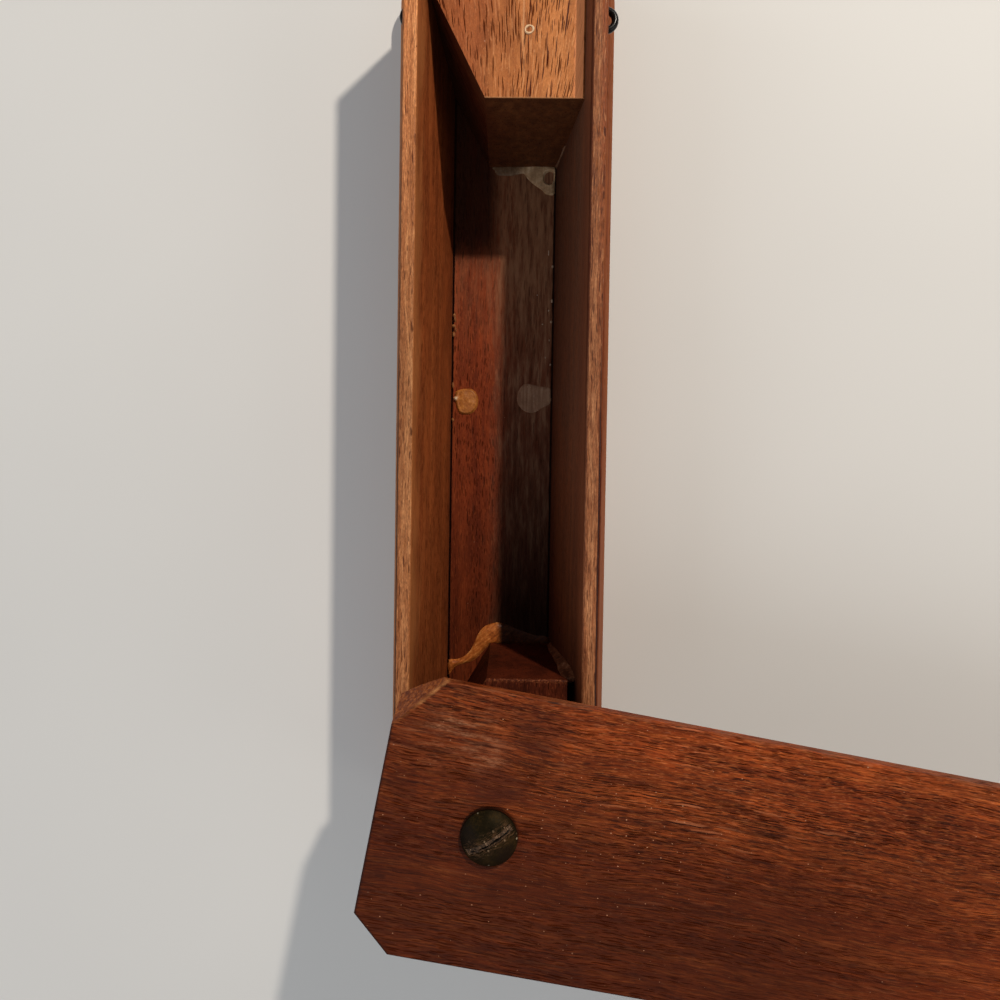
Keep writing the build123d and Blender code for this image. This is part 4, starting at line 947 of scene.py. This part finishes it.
def front_corner_glue():
    """Thin thread of glue up the corner between the front block's face and the right wall."""
    verts, faces = [], []
    rings, z0, z1 = 44, 8.1, 21.0
    loop = 0
    for i in range(rings):
        u = i / (rings - 1)
        z = z0 + (z1 - z0) * u
        wx = wall_in(z)
        a = (0.50 - 0.24 * u + 0.24 * rnd(z, 1.0, 0.55, 3.0) + 0.24 * math.exp(-((z - 19.2) / 0.8) ** 2)) * min(1.0, (1.0 - u) / 0.08 + 0.05)
        ring = [(wx - a, FRONT_Y + 0.08), (wx - 0.62 * a, FRONT_Y - 0.26 * a), (wx - 0.26 * a, FRONT_Y - 0.62 * a),
                (wx + 0.04, FRONT_Y - a), (wx + 0.30, FRONT_Y - 0.4 * a), (wx + 0.30, FRONT_Y + 0.30), (wx - 0.4 * a, FRONT_Y + 0.30)]
        loop = len(ring)
        verts += [(x * MM, y * MM, z * MM) for x, y in ring]
    for i in range(rings - 1):
        for j in range(loop):
            k = (j + 1) % loop
            faces.append((i * loop + j, i * loop + k, (i + 1) * loop + k, (i + 1) * loop + j))
    faces.append(tuple(range(loop - 1, -1, -1)))
    faces.append(tuple((rings - 1) * loop + j for j in range(loop)))
    me = bpy.data.meshes.new("front_corner_glue")
    me.from_pydata(verts, [], faces)
    me.validate()
    for p in me.polygons:
        p.use_smooth = len(p.vertices) == 4
    o = bpy.data.objects.new("front_corner_glue", me)
    scene.collection.objects.link(o)
    me.materials.append(THREAD)
    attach(o, "box")


front_corner_glue()

CRUMBS = [(-13.75, 22.6, 0.42, 0.45), (-13.55, 21.4, 0.30, 0.9), (-13.8, 19.6, 0.45, 0.55), (-13.35, 18.5, 0.25, 0.6), (-13.85, 17.3, 0.35, 0.8),
          (-13.9, 2.9, 0.30, 0.7), (-13.8, -6.9, 0.28, 0.55)]


def crumb_height(x, y):
    best = -1.0
    for cx, cy, rx, ry in CRUMBS:
        q = math.hypot((x - cx) / rx, (y - cy) / ry) + 0.35 * rnd(x, y, 2.3, 5.0)
        best = max(best, 0.42 * math.sqrt(1.0 - q) if q < 1.0 else 0.3 * (1.0 - q))
    return best


heap("left_seam_crumbs", -14.35, -12.8, -8.0, 24.0, 0.1, crumb_height, make_glue("crumbs_dried", [(0.3, srgb(98, 52, 26)), (0.5, srgb(140, 88, 50)), (0.7, srgb(190, 142, 98))], spec=0.15))


SPECKS = [(12.6, 40.4, 0.16, 0.75), (13.7, 36.6, 0.28, 0.40), (13.75, 27.0, 0.24, 0.5), (13.6, 21.1, 0.30, 0.35), (13.2, 15.9, 0.18, 0.3),
          (12.9, 24.3, 0.16, 0.22), (11.2, 20.4, 0.20, 0.18), (12.2, 11.0, 0.18, 0.22), (9.6, 28.6, 0.16, 0.16), (13.6, 9.1, 0.24, 0.3)]


def speck_height(x, y):
    best = -1.0
    for cx, cy, rx, ry in SPECKS:
        q = math.hypot((x - cx) / rx, (y - cy) / ry) + 0.25 * rnd(x, y, 2.9, 8.0)
        best = max(best, 0.20 * math.sqrt(1.0 - q) if q < 1.0 else 0.25 * (1.0 - q))
    return best


heap("right_floor_specks", 9.0, 14.2, 8.0, 42.0, 0.08, speck_height, make_glue("specks_pale", [(0.3, srgb(128, 100, 80)), (0.5, srgb(164, 138, 116)), (0.7, srgb(206, 186, 166))], spec=0.15))


def slot_dirt():
    """Old dirt packed in the screw's slot, broken away along one side."""
    n, m = 120, 26
    half, wide, low = 5.08, 0.69, 68.56
    c, s = math.cos(math.radians(SLOT_DEG)), math.sin(math.radians(SLOT_DEG))
    verts, faces = [], []

    def place(a, b, z):
        verts.append(((PIVOT[0] + a * c - b * s) * MM, (PIVOT[1] + a * s + b * c) * MM, z * MM))

    for i in range(n):
        a = -half + 2 * half * i / (n - 1)
        mid = -0.30 + 0.16 * rnd(a, 0.0, 0.8, 9.0)
        gap = (0.23 + 0.12 * rnd(a, 4.0, 1.1, 2.0)) * (1.0 if a > -1.6 else 0.7)
        open_by = max(0.0, min(1.0, 0.90 + 1.7 * rnd(a, 7.0, 0.75, 6.0)))
        for j in range(m):
            b = -wide + 2 * wide * j / (m - 1)
            dome = 62.852 + math.sqrt(60.03 - a * a - b * b)
            z = dome - 0.24 - 0.34 * rnd(a, b, 1.2, 3.0) - 0.20 * rnd(a, b, 3.2, 5.0)
            z -= 1.3 * open_by * math.exp(-((b - mid) / gap) ** 4)
            place(a, b, min(dome - 0.04, max(z, low + 0.09)))
    top = n * m
    for i in range(n):
        for j in (0, m - 1):
            place(-half + 2 * half * i / (n - 1), -wide + 2 * wide * j / (m - 1), low)
    for i in range(n - 1):
        for j in range(m - 1):
            faces.append((i * m + j, (i + 1) * m + j, (i + 1) * m + j + 1, i * m + j + 1))
        faces.append((top + 2 * i, top + 2 * i + 1, top + 2 * i + 3, top + 2 * i + 2))
        faces.append((i * m, top + 2 * i, top + 2 * i + 2, (i + 1) * m))
        faces.append((i * m + m - 1, (i + 1) * m + m - 1, top + 2 * i + 3, top + 2 * i + 1))
    faces.append(tuple([j for j in range(m - 1, -1, -1)] + [top, top + 1])[::-1])
    last = (n - 1) * m
    faces.append(tuple([last + j for j in range(m)] + [top + 2 * n - 1, top + 2 * n - 2])[::-1])
    me = bpy.data.meshes.new("screw_slot_dirt")
    me.from_pydata(verts, [], faces)
    me.validate()
    for p in me.polygons:
        p.use_smooth = len(p.vertices) == 4
    o = bpy.data.objects.new("screw_slot_dirt", me)
    scene.collection.objects.link(o)
    me.materials.append(DIRT)
    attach(o, "box")


slot_dirt()

# ================================================================== stage
bpy.ops.mesh.primitive_plane_add(size=6.0, location=(0, 0, -0.0002))
floor = bpy.context.object
floor.name = "studio_floor"
ft = Tree("studio_floor_paper")
fp = ft.position()
fn = ft.noise(ft.scaled(fp, (0.004, 0.004, 0.004)), 1.0, 3.0, 0.5)
ft.put(ft.bsdf.inputs["Base Color"], ft.ramp(fn, [(0.3, srgb(204, 203, 201)), (0.7, srgb(212, 211, 209))]))
ft.bsdf.inputs["Roughness"].default_value = 0.75
floor.data.materials.append(ft.mat)

def soft_light(name, where, aim, size, watts, colour, shape="SQUARE"):
    l = bpy.data.lights.new(name, "AREA")
    l.shape = shape
    l.size = size
    l.energy = watts
    l.color = colour
    o = bpy.data.objects.new(name, l)
    scene.collection.objects.link(o)
    o.location = where
    o.rotation_euler = (Vector(aim) - Vector(where)).to_track_quat("-Z", "Y").to_euler()
    return o


# warm key from the upper right, as in the photograph, with soft cooler light round it
soft_light("key", (0.279, 0.470, 0.60), (0.0, -0.02, 0.03), 0.030, 5.0, (1.0, 0.90, 0.77), "DISK")
soft_light("fill_left", (-0.95, -0.05, 0.70), (0, 0, 0), 0.9, 4.2, (0.88, 0.94, 1.0))
soft_light("fill_near", (-0.10, -0.60, 0.90), (0, 0.02, 0), 0.9, 2.2, (0.94, 0.97, 1.0))
soft_light("fill_right", (1.0, -0.25, 0.65), (0, 0, 0), 0.8, 2.4, (1.0, 0.93, 0.85))

world = bpy.data.worlds.new("studio")
scene.world = world
world.use_nodes = True
bg = world.node_tree.nodes["Background"]
bg.inputs[0].default_value = (0.95, 0.97, 1.0, 1)
bg.inputs[1].default_value = 0.19

# camera: almost straight down, as the photograph was taken
cam = bpy.data.cameras.new("camera")
cam.sensor_fit = "HORIZONTAL"
cam.sensor_width = 36.0
cam.lens = 36.0 * 0.693
cam.clip_start = 0.005
cam.clip_end = 20.0
co = bpy.data.objects.new("camera", cam)
scene.collection.objects.link(co)
rx, ry, rz = -0.0221, 0.0129, 0.0154
co.matrix_world = (Matrix.Translation((0.0024378, -0.02508, 0.2052094))
                   @ Matrix.Rotation(rz, 4, "Z") @ Matrix.Rotation(ry, 4, "Y") @ Matrix.Rotation(rx, 4, "X"))
scene.camera = co
